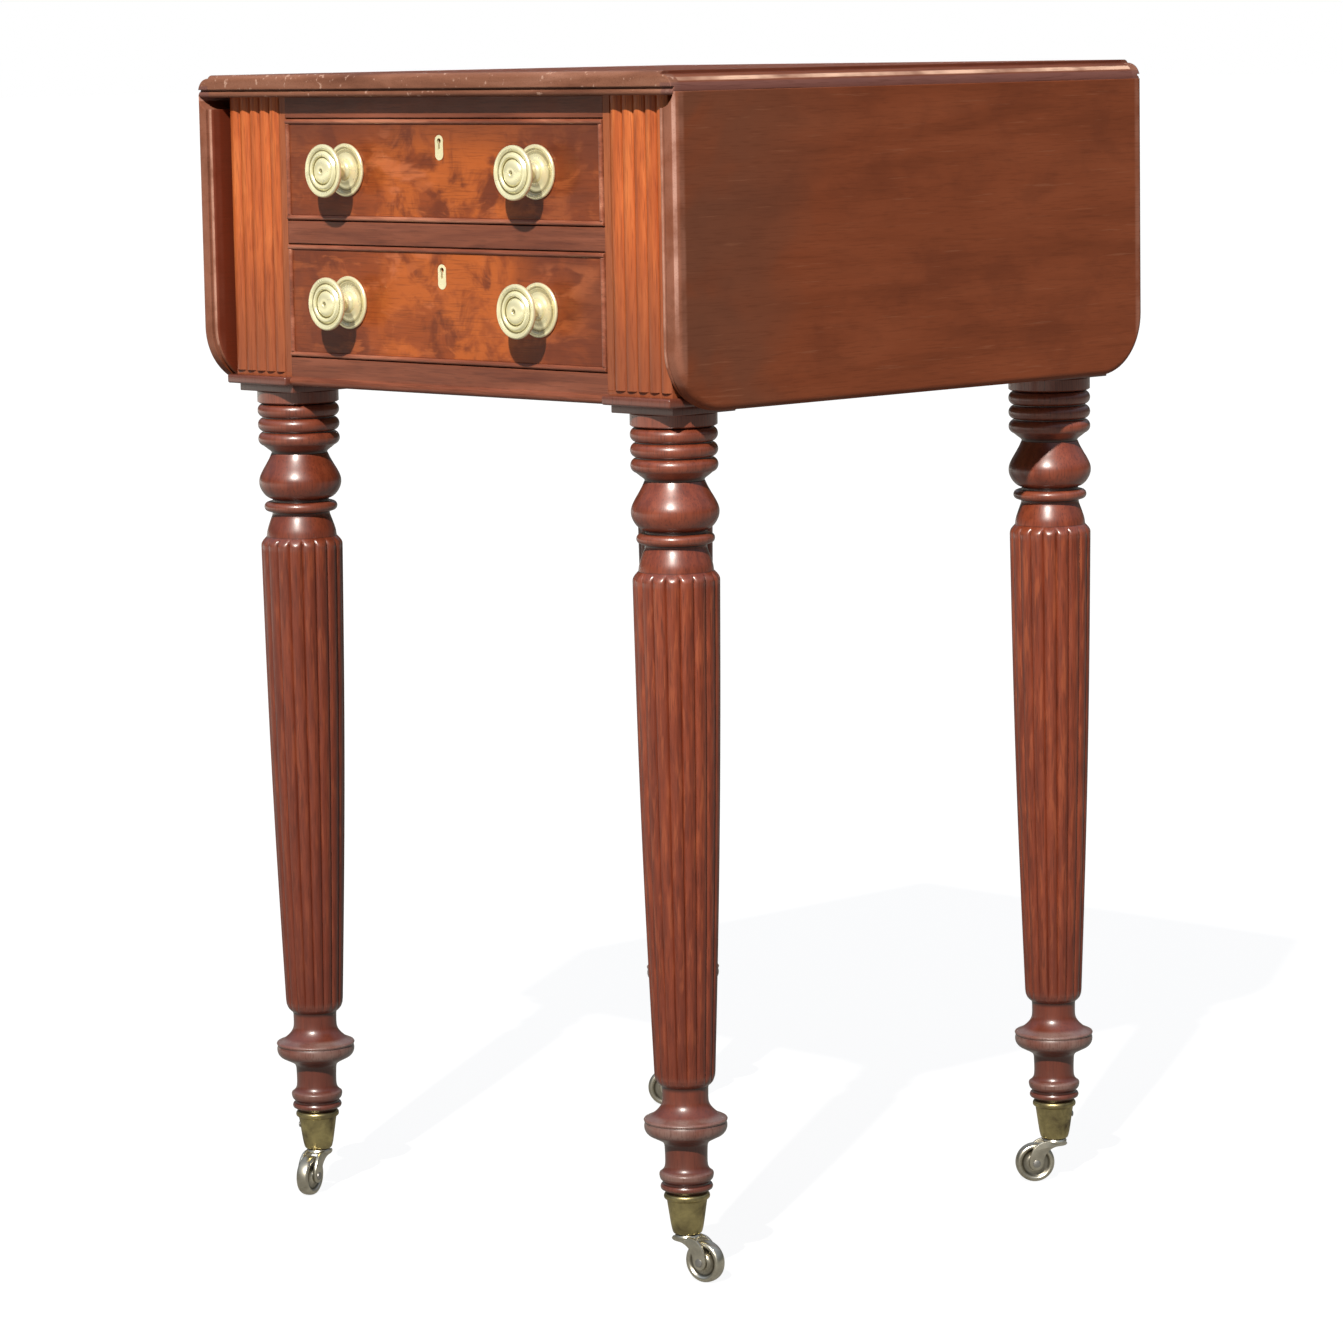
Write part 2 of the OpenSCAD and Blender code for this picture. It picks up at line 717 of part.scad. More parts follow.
module wheel() {
    edge = 2.4;
    translate([trail, 0, wheel_r]) rotate([90, 0, 0]) rotate_extrude() difference() {
        union() {
            translate([0, -wheel_w / 2 + edge]) square([wheel_r, wheel_w - 2 * edge]);
            for (s = [-1, 1]) translate([wheel_r - edge, s * (wheel_w / 2 - edge)]) circle(r = edge);
            translate([0, -wheel_w / 2]) square([wheel_r - edge, wheel_w]);
        }
        translate([0, -wheel_w]) square([axle_r + running, 2 * wheel_w]);
        for (s = [-1, 1]) translate([6.6, s * (wheel_w / 2 + 1.2)]) circle(r = 2.6);
    }
}

module fork_at(sx, sy, angle) { color("silver") at_leg(sx, sy) rotate([0, 0, angle]) fork(); }
module axle_at(sx, sy, angle) { color("gray") at_leg(sx, sy) rotate([0, 0, angle]) axle(); }
module wheel_at(sx, sy, angle) { color("silver") at_leg(sx, sy) rotate([0, 0, angle]) wheel(); }

/* ---- assembly ---- */
top_panel();
leg(-1, -1);  // leg_front_left
leg(1, -1);  // leg_front_right
leg(-1, 1);  // leg_back_left
leg(1, 1);  // leg_back_right
side_panels();
back_panel();
top_rail();
middle_rail();
bottom_rail();
drawer_runners();
drawer_stops();
top_cleats();
top_screws();
top_hinge_plates();
leaf_hinge_pins();
top_hinge_screws();
bracket_pins();
caster_cups();
leaf(-1);  // leaf_left
leaf_hinges(-1);  // leaf_left_hinges
leaf_screws(-1);  // leaf_left_screws
leaf(1);  // leaf_right
leaf_hinges(1);  // leaf_right_hinges
leaf_screws(1);  // leaf_right_screws
drawer_front(up_z0, up_z1);  // upper_front
drawer_sides(up_z0, up_z1);  // upper_sides
drawer_back(up_z0, up_z1);  // upper_back
drawer_bottom(up_z0);  // upper_bottom
cockbead(up_z0, up_z1);  // upper_cockbead
knobs(up_z0, up_z1);  // upper_knobs
roses(up_z0, up_z1);  // upper_roses
nuts(up_z0, up_z1);  // upper_nuts
escutcheon(up_z1);  // upper_escutcheon
lock(up_z1);  // upper_lock
tray();  // upper_tray
drawer_front(low_z0, low_z1);  // lower_front
drawer_sides(low_z0, low_z1);  // lower_sides
drawer_back(low_z0, low_z1);  // lower_back
drawer_bottom(low_z0);  // lower_bottom
cockbead(low_z0, low_z1);  // lower_cockbead
knobs(low_z0, low_z1);  // lower_knobs
roses(low_z0, low_z1);  // lower_roses
nuts(low_z0, low_z1);  // lower_nuts
escutcheon(low_z1);  // lower_escutcheon
lock(low_z1);  // lower_lock
bracket(-1);  // bracket_left
bracket(1);  // bracket_right
fork_at(-1, -1, trail_angle_fl);  // fork_front_left
fork_at(1, -1, trail_angle_fr);  // fork_front_right
fork_at(-1, 1, trail_angle_bl);  // fork_back_left
fork_at(1, 1, trail_angle_br);  // fork_back_right
axle_at(-1, -1, trail_angle_fl);  // axle_front_left
axle_at(1, -1, trail_angle_fr);  // axle_front_right
axle_at(-1, 1, trail_angle_bl);  // axle_back_left
axle_at(1, 1, trail_angle_br);  // axle_back_right
wheel_at(-1, -1, trail_angle_fl);  // wheel_front_left
wheel_at(1, -1, trail_angle_fr);  // wheel_front_right
wheel_at(-1, 1, trail_angle_bl);  // wheel_back_left
wheel_at(1, 1, trail_angle_br);  // wheel_back_right
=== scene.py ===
import json
import math

import bmesh
import bpy
from mathutils import Matrix, Vector


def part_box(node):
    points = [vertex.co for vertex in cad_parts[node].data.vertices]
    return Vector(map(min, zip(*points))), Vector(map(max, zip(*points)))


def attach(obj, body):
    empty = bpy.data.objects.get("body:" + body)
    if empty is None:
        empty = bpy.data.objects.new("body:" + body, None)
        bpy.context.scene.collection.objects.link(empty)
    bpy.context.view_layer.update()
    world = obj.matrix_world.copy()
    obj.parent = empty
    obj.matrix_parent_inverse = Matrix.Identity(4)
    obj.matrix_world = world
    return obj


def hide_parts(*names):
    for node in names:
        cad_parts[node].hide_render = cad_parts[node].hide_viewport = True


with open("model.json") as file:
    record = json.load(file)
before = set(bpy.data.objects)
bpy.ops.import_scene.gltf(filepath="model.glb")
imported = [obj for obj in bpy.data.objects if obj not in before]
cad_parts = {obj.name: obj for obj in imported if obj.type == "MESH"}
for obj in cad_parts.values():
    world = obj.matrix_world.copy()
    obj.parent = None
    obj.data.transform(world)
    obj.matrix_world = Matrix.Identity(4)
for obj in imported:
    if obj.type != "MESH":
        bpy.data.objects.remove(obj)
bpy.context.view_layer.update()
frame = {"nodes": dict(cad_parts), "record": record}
MM = 0.001
NODES = frame["nodes"]

# Sizes of the turned and cast pieces, in millimetres, the same as the CAD part's
POST = 54
SLAB = 52
SLAB_H = 5
LEDGE_H = 5.5
LEDGE_SIDE = 3.2
LEDGE_FRONT = 6
REED_ZONE = 48
POST_REEDS = 5
POST_REED_START = 8.5
LEG_REEDS = 18
CUP_RIM_R = 13.8
KNOB_X = 86
WHEEL_R = 12.7
WHEEL_W = 8
TRAIL = 13

# Each caster's side of the table in x and in y, and the way it trails, in degrees
CASTERS = {
    "front_left": (-1, -1, 292),
    "front_right": (1, -1, 8),
    "back_left": (-1, 1, 226),
    "back_right": (1, 1, 232),
}
# The way each cup's screw faces, in degrees, and its height
SCREW_FACING = {"front_left": 225, "back_right": 45, "front_right": 100, "back_left": 150}
SCREW_Z = 44
SCREW_OUT = 11.3


def node_box(name):
    """Lowest and highest corners of a CAD node, in millimetres."""
    low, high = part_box(name)
    return low / MM, high / MM


cups_low, cups_high = node_box("caster_cups")
LEG_X = (cups_high.x - cups_low.x) / 2 - CUP_RIM_R
LEG_Y = (cups_high.y - cups_low.y) / 2 - CUP_RIM_R
MID_Y = (cups_high.y + cups_low.y) / 2
RAIL_Z = node_box("side_panels")[0].z
UNDER_Z = node_box("side_panels")[1].z


# ---------------------------------------------------------------- camera, floor and light

CAMERA_AT = (2.1838, -2.1473, 0.7392)
AZIMUTH, PITCH, ROLL = math.radians(45.5), math.radians(7.47), math.radians(-1.0)
SENSOR_WIDTH = 36
LENS = 129.1

FLOOR_SIZE = 60
WHITE = (1.0, 1.0, 1.0)
FLOOR_BASE = (0.12, 0.12, 0.12)
# What the floor sends to the camera, to diffuse light, and to reflections near and far in front
FLOOR_SEEN = (0.9, 0.9, 0.9)
FLOOR_BOUNCE = (0.1, 0.095, 0.085)
FLOOR_MIRROR_NEAR = (0.15, 0.14, 0.11)
FLOOR_MIRROR_FAR = (0.95, 0.92, 0.82)
FRONTWARD = (-0.55, -0.83, 0)
# Brightness of the sky from the horizon up
SKY = ((0.12, (0.08, 0.085, 0.07)), (0.4, (0.26, 0.29, 0.34)), (0.9, (0.42, 0.48, 0.58)))

# Sockets of a Mix node set to colour
MIX_A, MIX_B, MIX_RESULT = 6, 7, 2


def make_camera():
    """Looks from the table's front right corner, a little above its top."""
    forward = Vector((
        -math.sin(AZIMUTH) * math.cos(PITCH),
        math.cos(AZIMUTH) * math.cos(PITCH),
        -math.sin(PITCH)))
    level = Vector((math.cos(AZIMUTH), math.sin(AZIMUTH), 0))
    upright = level.cross(forward)
    right = level * math.cos(ROLL) + upright * math.sin(ROLL)
    up = upright * math.cos(ROLL) - level * math.sin(ROLL)
    data = bpy.data.cameras.new("camera")
    data.sensor_width = SENSOR_WIDTH
    data.lens = LENS
    data.clip_start, data.clip_end = 0.1, 200
    camera = bpy.data.objects.new("camera", data)
    bpy.context.scene.collection.objects.link(camera)
    turn = Matrix((right, up, -forward)).transposed().to_4x4()
    camera.matrix_world = Matrix.Translation(CAMERA_AT) @ turn
    bpy.context.scene.camera = camera


def seen_by(tree, camera, glossy, other):
    """A colour that differs between the camera, reflections and diffuse light.

    For the floor and sky only.
    """
    path = tree.nodes.new("ShaderNodeLightPath")
    made = other
    for ray, colour in (("Is Glossy Ray", glossy), ("Is Camera Ray", camera)):
        mix = tree.nodes.new("ShaderNodeMix")
        mix.data_type = "RGBA"
        tree.links.new(path.outputs[ray], mix.inputs[0])
        for socket, value in ((mix.inputs[MIX_A], made), (mix.inputs[MIX_B], colour)):
            if isinstance(value, tuple):
                socket.default_value = (*value, 1)
            else:
                tree.links.new(value, socket)
        made = mix.outputs[MIX_RESULT]
    return made


def make_floor():
    """A pale floor that glows to the camera, so that its shadows stay light."""
    mesh = bpy.data.meshes.new("floor")
    corners = [(x * FLOOR_SIZE, y * FLOOR_SIZE, 0) for x, y in ((-1, -1), (1, -1), (1, 1), (-1, 1))]
    mesh.from_pydata(corners, [], [(0, 1, 2, 3)])
    floor = bpy.data.objects.new("floor", mesh)
    bpy.context.scene.collection.objects.link(floor)
    graph = Graph("floor")
    graph.feed(graph.shader.inputs["Base Color"], FLOOR_BASE)
    graph.shader.inputs["Roughness"].default_value = 0.9
    graph.shader.inputs["Specular IOR Level"].default_value = 0.0
    ahead = graph.node("ShaderNodeVectorMath", operation="DOT_PRODUCT")
    graph.link(graph.coords(), ahead.inputs[0])
    ahead.inputs[1].default_value = FRONTWARD
    distance = graph.fit(ahead.outputs["Value"], 0.3, 3.0)
    mirrored = graph.mix(distance, FLOOR_MIRROR_NEAR, FLOOR_MIRROR_FAR)
    glow = seen_by(graph.tree, FLOOR_SEEN, mirrored, FLOOR_BOUNCE)
    graph.feed(graph.shader.inputs["Emission Color"], glow)
    graph.shader.inputs["Emission Strength"].default_value = 1.0
    # Seen from below, the floor is clear
    clear, pick = graph.node("ShaderNodeBsdfTransparent"), graph.node("ShaderNodeMixShader")
    graph.link(graph.node("ShaderNodeNewGeometry").outputs["Backfacing"], pick.inputs[0])
    graph.link(graph.shader.outputs[0], pick.inputs[1])
    graph.link(clear.outputs[0], pick.inputs[2])
    graph.link(pick.outputs[0], graph.tree.nodes["Material Output"].inputs["Surface"])
    mesh.materials.append(graph.material)


def sun(name, travel, strength, angle, colour, mirrored):
    """A sun whose light travels along the vector travel. Unless mirrored, it makes no highlight."""
    data = bpy.data.lights.new(name, "SUN")
    data.energy, data.angle, data.color = strength, math.radians(angle), colour
    light = bpy.data.objects.new(name, data)
    light.rotation_mode = "QUATERNION"
    light.rotation_quaternion = Vector(travel).to_track_quat("-Z", "Y")
    light.visible_glossy = mirrored
    bpy.context.scene.collection.objects.link(light)


def make_light():
    """A soft sky, brighter overhead, a key light from the front right and a fill from behind."""
    world = bpy.data.worlds.new("studio")
    bpy.context.scene.world = world
    world.use_nodes = True
    tree = world.node_tree
    back = tree.nodes["Background"]
    place = tree.nodes.new("ShaderNodeTexCoord")
    split = tree.nodes.new("ShaderNodeSeparateXYZ")
    ramp = tree.nodes.new("ShaderNodeValToRGB")
    set_stops(ramp, SKY)
    tree.links.new(place.outputs["Generated"], split.inputs["Vector"])
    tree.links.new(split.outputs["Z"], ramp.inputs["Fac"])
    sky = ramp.outputs["Color"]
    tree.links.new(seen_by(tree, WHITE, sky, sky), back.inputs["Color"])
    back.inputs["Strength"].default_value = 1.0
    sun("key", (-12, 20, -19.6), 4.8, 1.2, (1.0, 0.95, 0.87), mirrored=True)
    sun("fill", (10, -10, -4), 2.3, 25, (0.94, 0.96, 1.0), mirrored=False)
    bpy.context.scene.view_settings.view_transform = "Standard"


# ---------------------------------------------------------------- mesh helpers, in millimetres

SHARP_ANGLE = math.radians(35)
# How strongly a vertex's dent shows in the "hollow" attribute, and how often it is averaged
DENT_GAIN = 1.6
DENT_PASSES = 2


def smooth(points, steps=4):
    """A Catmull-Rom curve through the points."""
    ends = [points[0]] + list(points) + [points[-1]]
    made = []
    for a, b, c, d in zip(ends, ends[1:], ends[2:], ends[3:]):
        for i in range(steps):
            t = i / steps
            made.append(tuple(
                0.5 * (2 * q + (r - p) * t
                       + (2 * p - 5 * q + 4 * r - s) * t * t
                       + (3 * q - p - 3 * r + s) * t ** 3)
                for p, q, r, s in zip(a, b, c, d)))
    made.append(tuple(points[-1]))
    return made


def raised(points, z):
    """The same (radius, height) points, z higher."""
    return [(radius, z + height) for radius, height in points]


def arc(x, y, radius, start, end, steps):
    """Points on a circle from start to end, in degrees."""
    angles = [math.radians(start + (end - start) * i / steps) for i in range(steps + 1)]
    return [(x + radius * math.cos(a), y + radius * math.sin(a)) for a in angles]


def lathe(bm, profile, segments, closed=False, radius_at=None):
    """Turns a profile of (radius, height) about +z. A closed profile makes a hollow ring."""
    rings = []
    for radius, height in profile:
        if radius < 1e-6:
            rings.append([bm.verts.new((0, 0, height))])
            continue
        ring = []
        for i in range(segments):
            angle = 2 * math.pi * i / segments
            r = radius_at(radius, height, angle) if radius_at else radius
            ring.append(bm.verts.new((r * math.cos(angle), r * math.sin(angle), height)))
        rings.append(ring)
    pairs = list(zip(rings, rings[1:]))
    if closed:
        pairs.append((rings[-1], rings[0]))
    for a, b in pairs:
        for i in range(segments):
            j = (i + 1) % segments
            corners = [a[0] if len(a) == 1 else a[i], b[0] if len(b) == 1 else b[i]]
            if len(b) > 1:
                corners.append(b[j])
            if len(a) > 1:
                corners.append(a[j])
            if len(corners) > 2:
                bm.faces.new(corners)


def prism(bm, outline, z0, z1):
    """Extrudes a closed outline of (x, y) points from z0 up to z1."""
    low = [bm.verts.new((x, y, z0)) for x, y in outline]
    high = [bm.verts.new((x, y, z1)) for x, y in outline]
    for i in range(len(outline)):
        j = (i + 1) % len(outline)
        bm.faces.new((low[i], low[j], high[j], high[i]))
    bm.faces.new(list(reversed(low)))
    bm.faces.new(high)


def block(bm, low, high, edge):
    """A box between two corners, its edges rounded to the radius edge."""
    made = bmesh.ops.create_cube(bm, size=1.0)["verts"]
    low, high = Vector(low), Vector(high)
    for vert in made:
        vert.co = Vector(low[i] + (vert.co[i] + 0.5) * (high[i] - low[i]) for i in range(3))
    edges = {e for v in made for e in v.link_edges}
    bmesh.ops.bevel(bm, geom=list(edges), offset=edge, segments=3, affect="EDGES", profile=0.5)


def turned(matrix, build):
    """A function that draws build's shape moved by matrix."""
    def draw(bm):
        before = set(bm.verts)
        build(bm)
        added = [v for v in bm.verts if v not in before]
        bmesh.ops.transform(bm, matrix=matrix, verts=added)
        if matrix.determinant() < 0:
            bmesh.ops.reverse_faces(bm, faces=list({f for v in added for f in v.link_faces}))
    return draw


def dent_of(bm):
    """For each vertex, how far it lies in a hollow (above 0.5) or on an arris (below 0.5)."""
    bm.normal_update()
    raw = []
    for vert in bm.verts:
        near = [e.other_vert(vert) for e in vert.link_edges]
        span = sum((n.co - vert.co).length for n in near) / len(near)
        lift = sum((n.co - vert.co).dot(vert.normal) for n in near) / len(near)
        raw.append(lift / max(span, 1e-9))
    for _ in range(DENT_PASSES):
        raw = [
            (raw[v.index]
             + sum(raw[e.other_vert(v).index] for e in v.link_edges) / len(v.link_edges)) / 2
            for v in bm.verts
        ]
    return [min(1.0, max(0.0, 0.5 + DENT_GAIN * value)) for value in raw]


def piece(name, draw, materials, body, replaced):
    """Makes one shown piece, riding on its body in place of the CAD nodes it replaces."""
    bm = bmesh.new()
    draw(bm)
    bmesh.ops.recalc_face_normals(bm, faces=bm.faces)
    bm.verts.index_update()
    hollows = dent_of(bm)
    mesh = bpy.data.meshes.new(name)
    bm.to_mesh(mesh)
    bm.free()
    attribute = mesh.attributes.new("hollow", "FLOAT", "POINT")
    attribute.data.foreach_set("value", hollows)
    mesh.transform(Matrix.Scale(MM, 4))
    mesh.shade_smooth()
    mesh.set_sharp_from_angle(angle=SHARP_ANGLE)
    for material in materials:
        mesh.materials.append(material)
    made = bpy.data.objects.new(name, mesh)
    bpy.context.scene.collection.objects.link(made)
    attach(made, body)
    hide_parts(*replaced)


# ---------------------------------------------------------------- material helpers

def set_stops(node, stops):
    """Gives a Color Ramp node its stops, each a place and a colour or a grey."""
    elements = node.color_ramp.elements
    while len(elements) < len(stops):
        elements.new(0.5)
    for element, (place, colour) in zip(elements, stops):
        element.position = place
        element.color = (*colour, 1) if isinstance(colour, tuple) else (colour, colour, colour, 1)


class Graph:
    """Builds one material's node tree."""

    def __init__(self, name):
        self.material = bpy.data.materials.new(name)
        self.material.use_nodes = True
        self.tree = self.material.node_tree
        self.shader = self.tree.nodes["Principled BSDF"]

    def node(self, kind, **settings):
        made = self.tree.nodes.new(kind)
        for key, value in settings.items():
            setattr(made, key, value)
        return made

    def link(self, source, socket):
        self.tree.links.new(source, socket)

    def feed(self, socket, value):
        """Links value if it is a socket, or sets it if it is a number or colour."""
        if isinstance(value, bpy.types.NodeSocket):
            self.link(value, socket)
        elif isinstance(value, tuple) and len(value) == 3 and socket.type == "RGBA":
            socket.default_value = (*value, 1)
        else:
            socket.default_value = value

    def coords(self, scale=(1, 1, 1), turn=(0, 0, 0), shift=(0, 0, 0)):
        """The object coordinates in metres, scaled, turned and shifted."""
        place = self.node("ShaderNodeTexCoord")
        mapping = self.node("ShaderNodeMapping")
        self.link(place.outputs["Object"], mapping.inputs["Vector"])
        mapping.inputs["Scale"].default_value = scale
        mapping.inputs["Rotation"].default_value = turn
        mapping.inputs["Location"].default_value = shift
        return mapping.outputs["Vector"]

    def along(self, axis):
        """The object coordinate along x, y or z, in metres."""
        split = self.node("ShaderNodeSeparateXYZ")
        self.link(self.coords(), split.inputs["Vector"])
        return split.outputs["xyz".index(axis)]

    def noise(self, vector, scale, detail=4, rough=0.55, warp=0.0):
        made = self.node("ShaderNodeTexNoise")
        self.link(vector, made.inputs["Vector"])
        made.inputs["Scale"].default_value = scale
        made.inputs["Detail"].default_value = detail
        made.inputs["Roughness"].default_value = rough
        made.inputs["Distortion"].default_value = warp
        return made.outputs["Fac"]

    def ramp(self, value, *stops):
        made = self.node("ShaderNodeValToRGB")
        self.link(value, made.inputs["Fac"])
        set_stops(made, stops)
        return made.outputs["Color"]

    def mix(self, factor, a, b):
        made = self.node("ShaderNodeMix", data_type="RGBA")
        self.feed(made.inputs[0], factor)
        self.feed(made.inputs[MIX_A], a)
        self.feed(made.inputs[MIX_B], b)
        return made.outputs[MIX_RESULT]

    def math(self, operation, a, b=0.0):
        made = self.node("ShaderNodeMath", operation=operation)
        self.feed(made.inputs[0], a)
        self.feed(made.inputs[1], b)
        return made.outputs[0]

    def both(self, first, *others):
        """The product of masks and numbers."""
        for other in others:
            first = self.math("MULTIPLY", first, other)
        return first

    def fit(self, value, low, high, to_low=0.0, to_high=1.0):
        """Maps low..high to to_low..to_high, smoothly and without going past them."""
        made = self.node("ShaderNodeMapRange", interpolation_type="SMOOTHSTEP")
        self.link(value, made.inputs["Value"])
        made.inputs["From Min"].default_value = low
        made.inputs["From Max"].default_value = high
        made.inputs["To Min"].default_value = to_low
        made.inputs["To Max"].default_value = to_high
        return made.outputs["Result"]

    def band(self, value, low, high, soft):
        """1 where value lies between low and high, fading out over soft."""
        return self.both(self.fit(value, low - soft, low), self.fit(value, high + soft, high))

    def ends(self, value, low, high, width, soft):
        """1 within width of low and of high, fading out inwards over soft."""
        first = self.fit(value, low + width + soft, low + width)
        last = self.fit(value, high - width - soft, high - width)
        return self.math("MAXIMUM", first, last)

    def bump(self, height, strength, distance, normal=None):
        made = self.node("ShaderNodeBump")
        self.link(height, made.inputs["Height"])
        made.inputs["Strength"].default_value = strength
        made.inputs["Distance"].default_value = distance
        if normal is not None:
            self.link(normal, made.inputs["Normal"])
        return made.outputs["Normal"]

    def hollow(self):
        """The piece's own measure of hollows and arrises, from 0 to 1 about 0.5."""
        return self.node("ShaderNodeAttribute", attribute_name="hollow").outputs["Fac"]

    def arris(self, radius):
        """The rounded normal, and a mask near 1 along the sharp edges of a board."""
        bevel = self.node("ShaderNodeBevel", samples=6)
        bevel.inputs["Radius"].default_value = radius
        facing = self.node("ShaderNodeVectorMath", operation="DOT_PRODUCT")
        self.link(bevel.outputs["Normal"], facing.inputs[0])
        self.link(self.node("ShaderNodeNewGeometry").outputs["Normal"], facing.inputs[1])
        return bevel.outputs["Normal"], self.fit(facing.outputs["Value"], 0.99, 0.8)


def srgb(red, green, blue):
    """Linear colour from 0-255 display values."""
    def linear(value):
        return ((value / 255 + 0.055) / 1.055) ** 2.4 if value > 10 else value / 255 / 12.92
    return linear(red), linear(green), linear(blue)


def scaled(colour, factor):
    return tuple(c * factor for c in colour)


# ---------------------------------------------------------------- timber

# Noise scales that draw streaks, fine lines and pores out along the grain
GRAIN_SCALE = {"x": (1, 9, 9), "y": (9, 1, 9), "z": (9, 9, 1)}
LINE_SCALE = {"x": (0.4, 12, 12), "y": (12, 0.4, 12), "z": (12, 12, 0.4)}
PORE_SCALE = {"x": (1, 22, 22), "y": (22, 1, 22), "z": (22, 22, 1)}

# Dark, middle and light streaks of each timber
LEAF_TONES = srgb(114, 57, 33), srgb(131, 67, 40), srgb(139, 74, 46)
TOP_TONES = srgb(96, 48, 31), srgb(119, 64, 42), srgb(134, 78, 54)
MOULDING_TONES = srgb(104, 64, 48), srgb(134, 88, 68), srgb(158, 112, 92)
FLAME_TONES = srgb(112, 52, 26), srgb(148, 70, 32), srgb(166, 84, 40)
POST_TONES = srgb(150, 64, 30), srgb(190, 97, 48), srgb(216, 126, 70)
LEG_TONES = srgb(104, 42, 23), srgb(130, 57, 32), srgb(146, 69, 42)
CARCASS_TONES = srgb(100, 50, 34), srgb(130, 72, 50), srgb(146, 84, 62)
SIDE_TONES = srgb(92, 44, 28), srgb(122, 64, 42), srgb(138, 76, 52)
BEAD_TONES = srgb(112, 58, 40), srgb(150, 84, 60), srgb(196, 130, 102)
PINE_TONES = srgb(142, 100, 62), srgb(168, 128, 84), srgb(184, 148, 104)


class Wood(Graph):
    """Polished timber: grain streaks, cloudy mottling, fine pores and a coat of polish."""

    def __init__(self, name, tones, grain, streak=9, mottle=0.35, figure=0.3):
        super().__init__(name)
        self.dark, middle, self.light = tones
        streaks = self.noise(self.coords(GRAIN_SCALE[grain]), streak, 6, 0.6, 0.6)
        tone = self.ramp(streaks, (0.3, self.dark), (0.5, middle), (0.72, self.light))
        clouds = self.noise(self.coords(), 14, 3, 0.5, 0.4)
        self.colour = self.mix(self.ramp(clouds, (0.35, 0.0), (0.7, mottle)), tone, self.dark)
        lines = self.noise(self.coords(LINE_SCALE[grain]), 30, 4, 0.6, 0.3)
        self.tint(self.fit(lines, 0.5, 0.64, to_high=figure), scaled(self.dark, 0.75))
        self.pores = self.noise(self.coords(PORE_SCALE[grain]), 60, 2, 0.5)
        self.normal = None

    def tint(self, factor, colour):
        self.colour = self.mix(factor, self.colour, colour)

    def wear_and_highlight(self, mask, colour, amount, scale=45):
        """Patchy tint inside a mask: wear in some places, a painted highlight in others."""
        patch = self.fit(self.noise(self.coords(), scale, 4, 0.6), 0.32, 0.62, to_low=0.25)
        self.tint(self.both(mask, patch, amount), colour)

    def pored(self, strength=0.35):
        spots = self.ramp(self.pores, (0.34, 1.0), (0.46, 0.0))
        self.tint(self.both(spots, strength), scaled(self.dark, 0.45))

    def edges_rounded_and_lit(self, radius=0.0012, light=0.35):
        """Boards: edges rounded in the light, and tinted paler in patches along them, a painted
        highlight that also stands for rubbing.
        """
        self.normal, edge = self.arris(radius)
        rub_and_glint = self.fit(self.noise(self.coords(), 55, 4, 0.6), 0.35, 0.65, to_high=light)
        # Painted highlight along the arrises, patchy like wear from rubbing
        self.tint(self.both(edge, rub_and_glint), scaled(self.light, 1.5))

    def hollows_shaded_arrises_lit(self, hollow_shade, rub_and_glint_amount, rub_and_glint=None):
        """Turned work: darker in the hollows, painted shade over old polish there, and paler on the
        arrises, a painted highlight that also stands for rubbing.
        """
        hollow = self.hollow()
        # Painted shade: hollows and quirks darkened almost to black
        self.tint(self.fit(hollow, 0.53, 0.75, to_high=hollow_shade), scaled(self.dark, 0.2))
        # Painted highlight on the arrises, partly standing for rubbing
        self.tint(self.fit(hollow, 0.47, 0.3, to_high=rub_and_glint_amount), rub_and_glint or scaled(self.light, 1.35))

    def finished(self, rough, coat=0.25, coat_rough=0.12, spread=0.1, specular=0.28):
        """Joins colour, patchy roughness, polish and pores to the shader."""
        inputs = self.shader.inputs
        wear = self.noise(self.coords(), 40, 4, 0.6)
        roughness = self.ramp(wear, (0.3, rough - spread * 0.7), (0.7, rough + spread))
        self.link(self.colour, inputs["Base Color"])
        self.link(roughness, inputs["Roughness"])
        self.link(self.bump(self.pores, 0.12, 0.0003, self.normal), inputs["Normal"])
        inputs["Specular IOR Level"].default_value = specular
        inputs["Coat Weight"].default_value = coat
        inputs["Coat Roughness"].default_value = coat_rough
        return self.material


def board_wood(name, tones, grain, rough=0.4, coat=0.15):
    """A plain board, for the carcass and the drawers' linings."""
    wood = Wood(name, tones, grain)
    wood.edges_rounded_and_lit()
    wood.pored()
    return wood.finished(rough, coat)


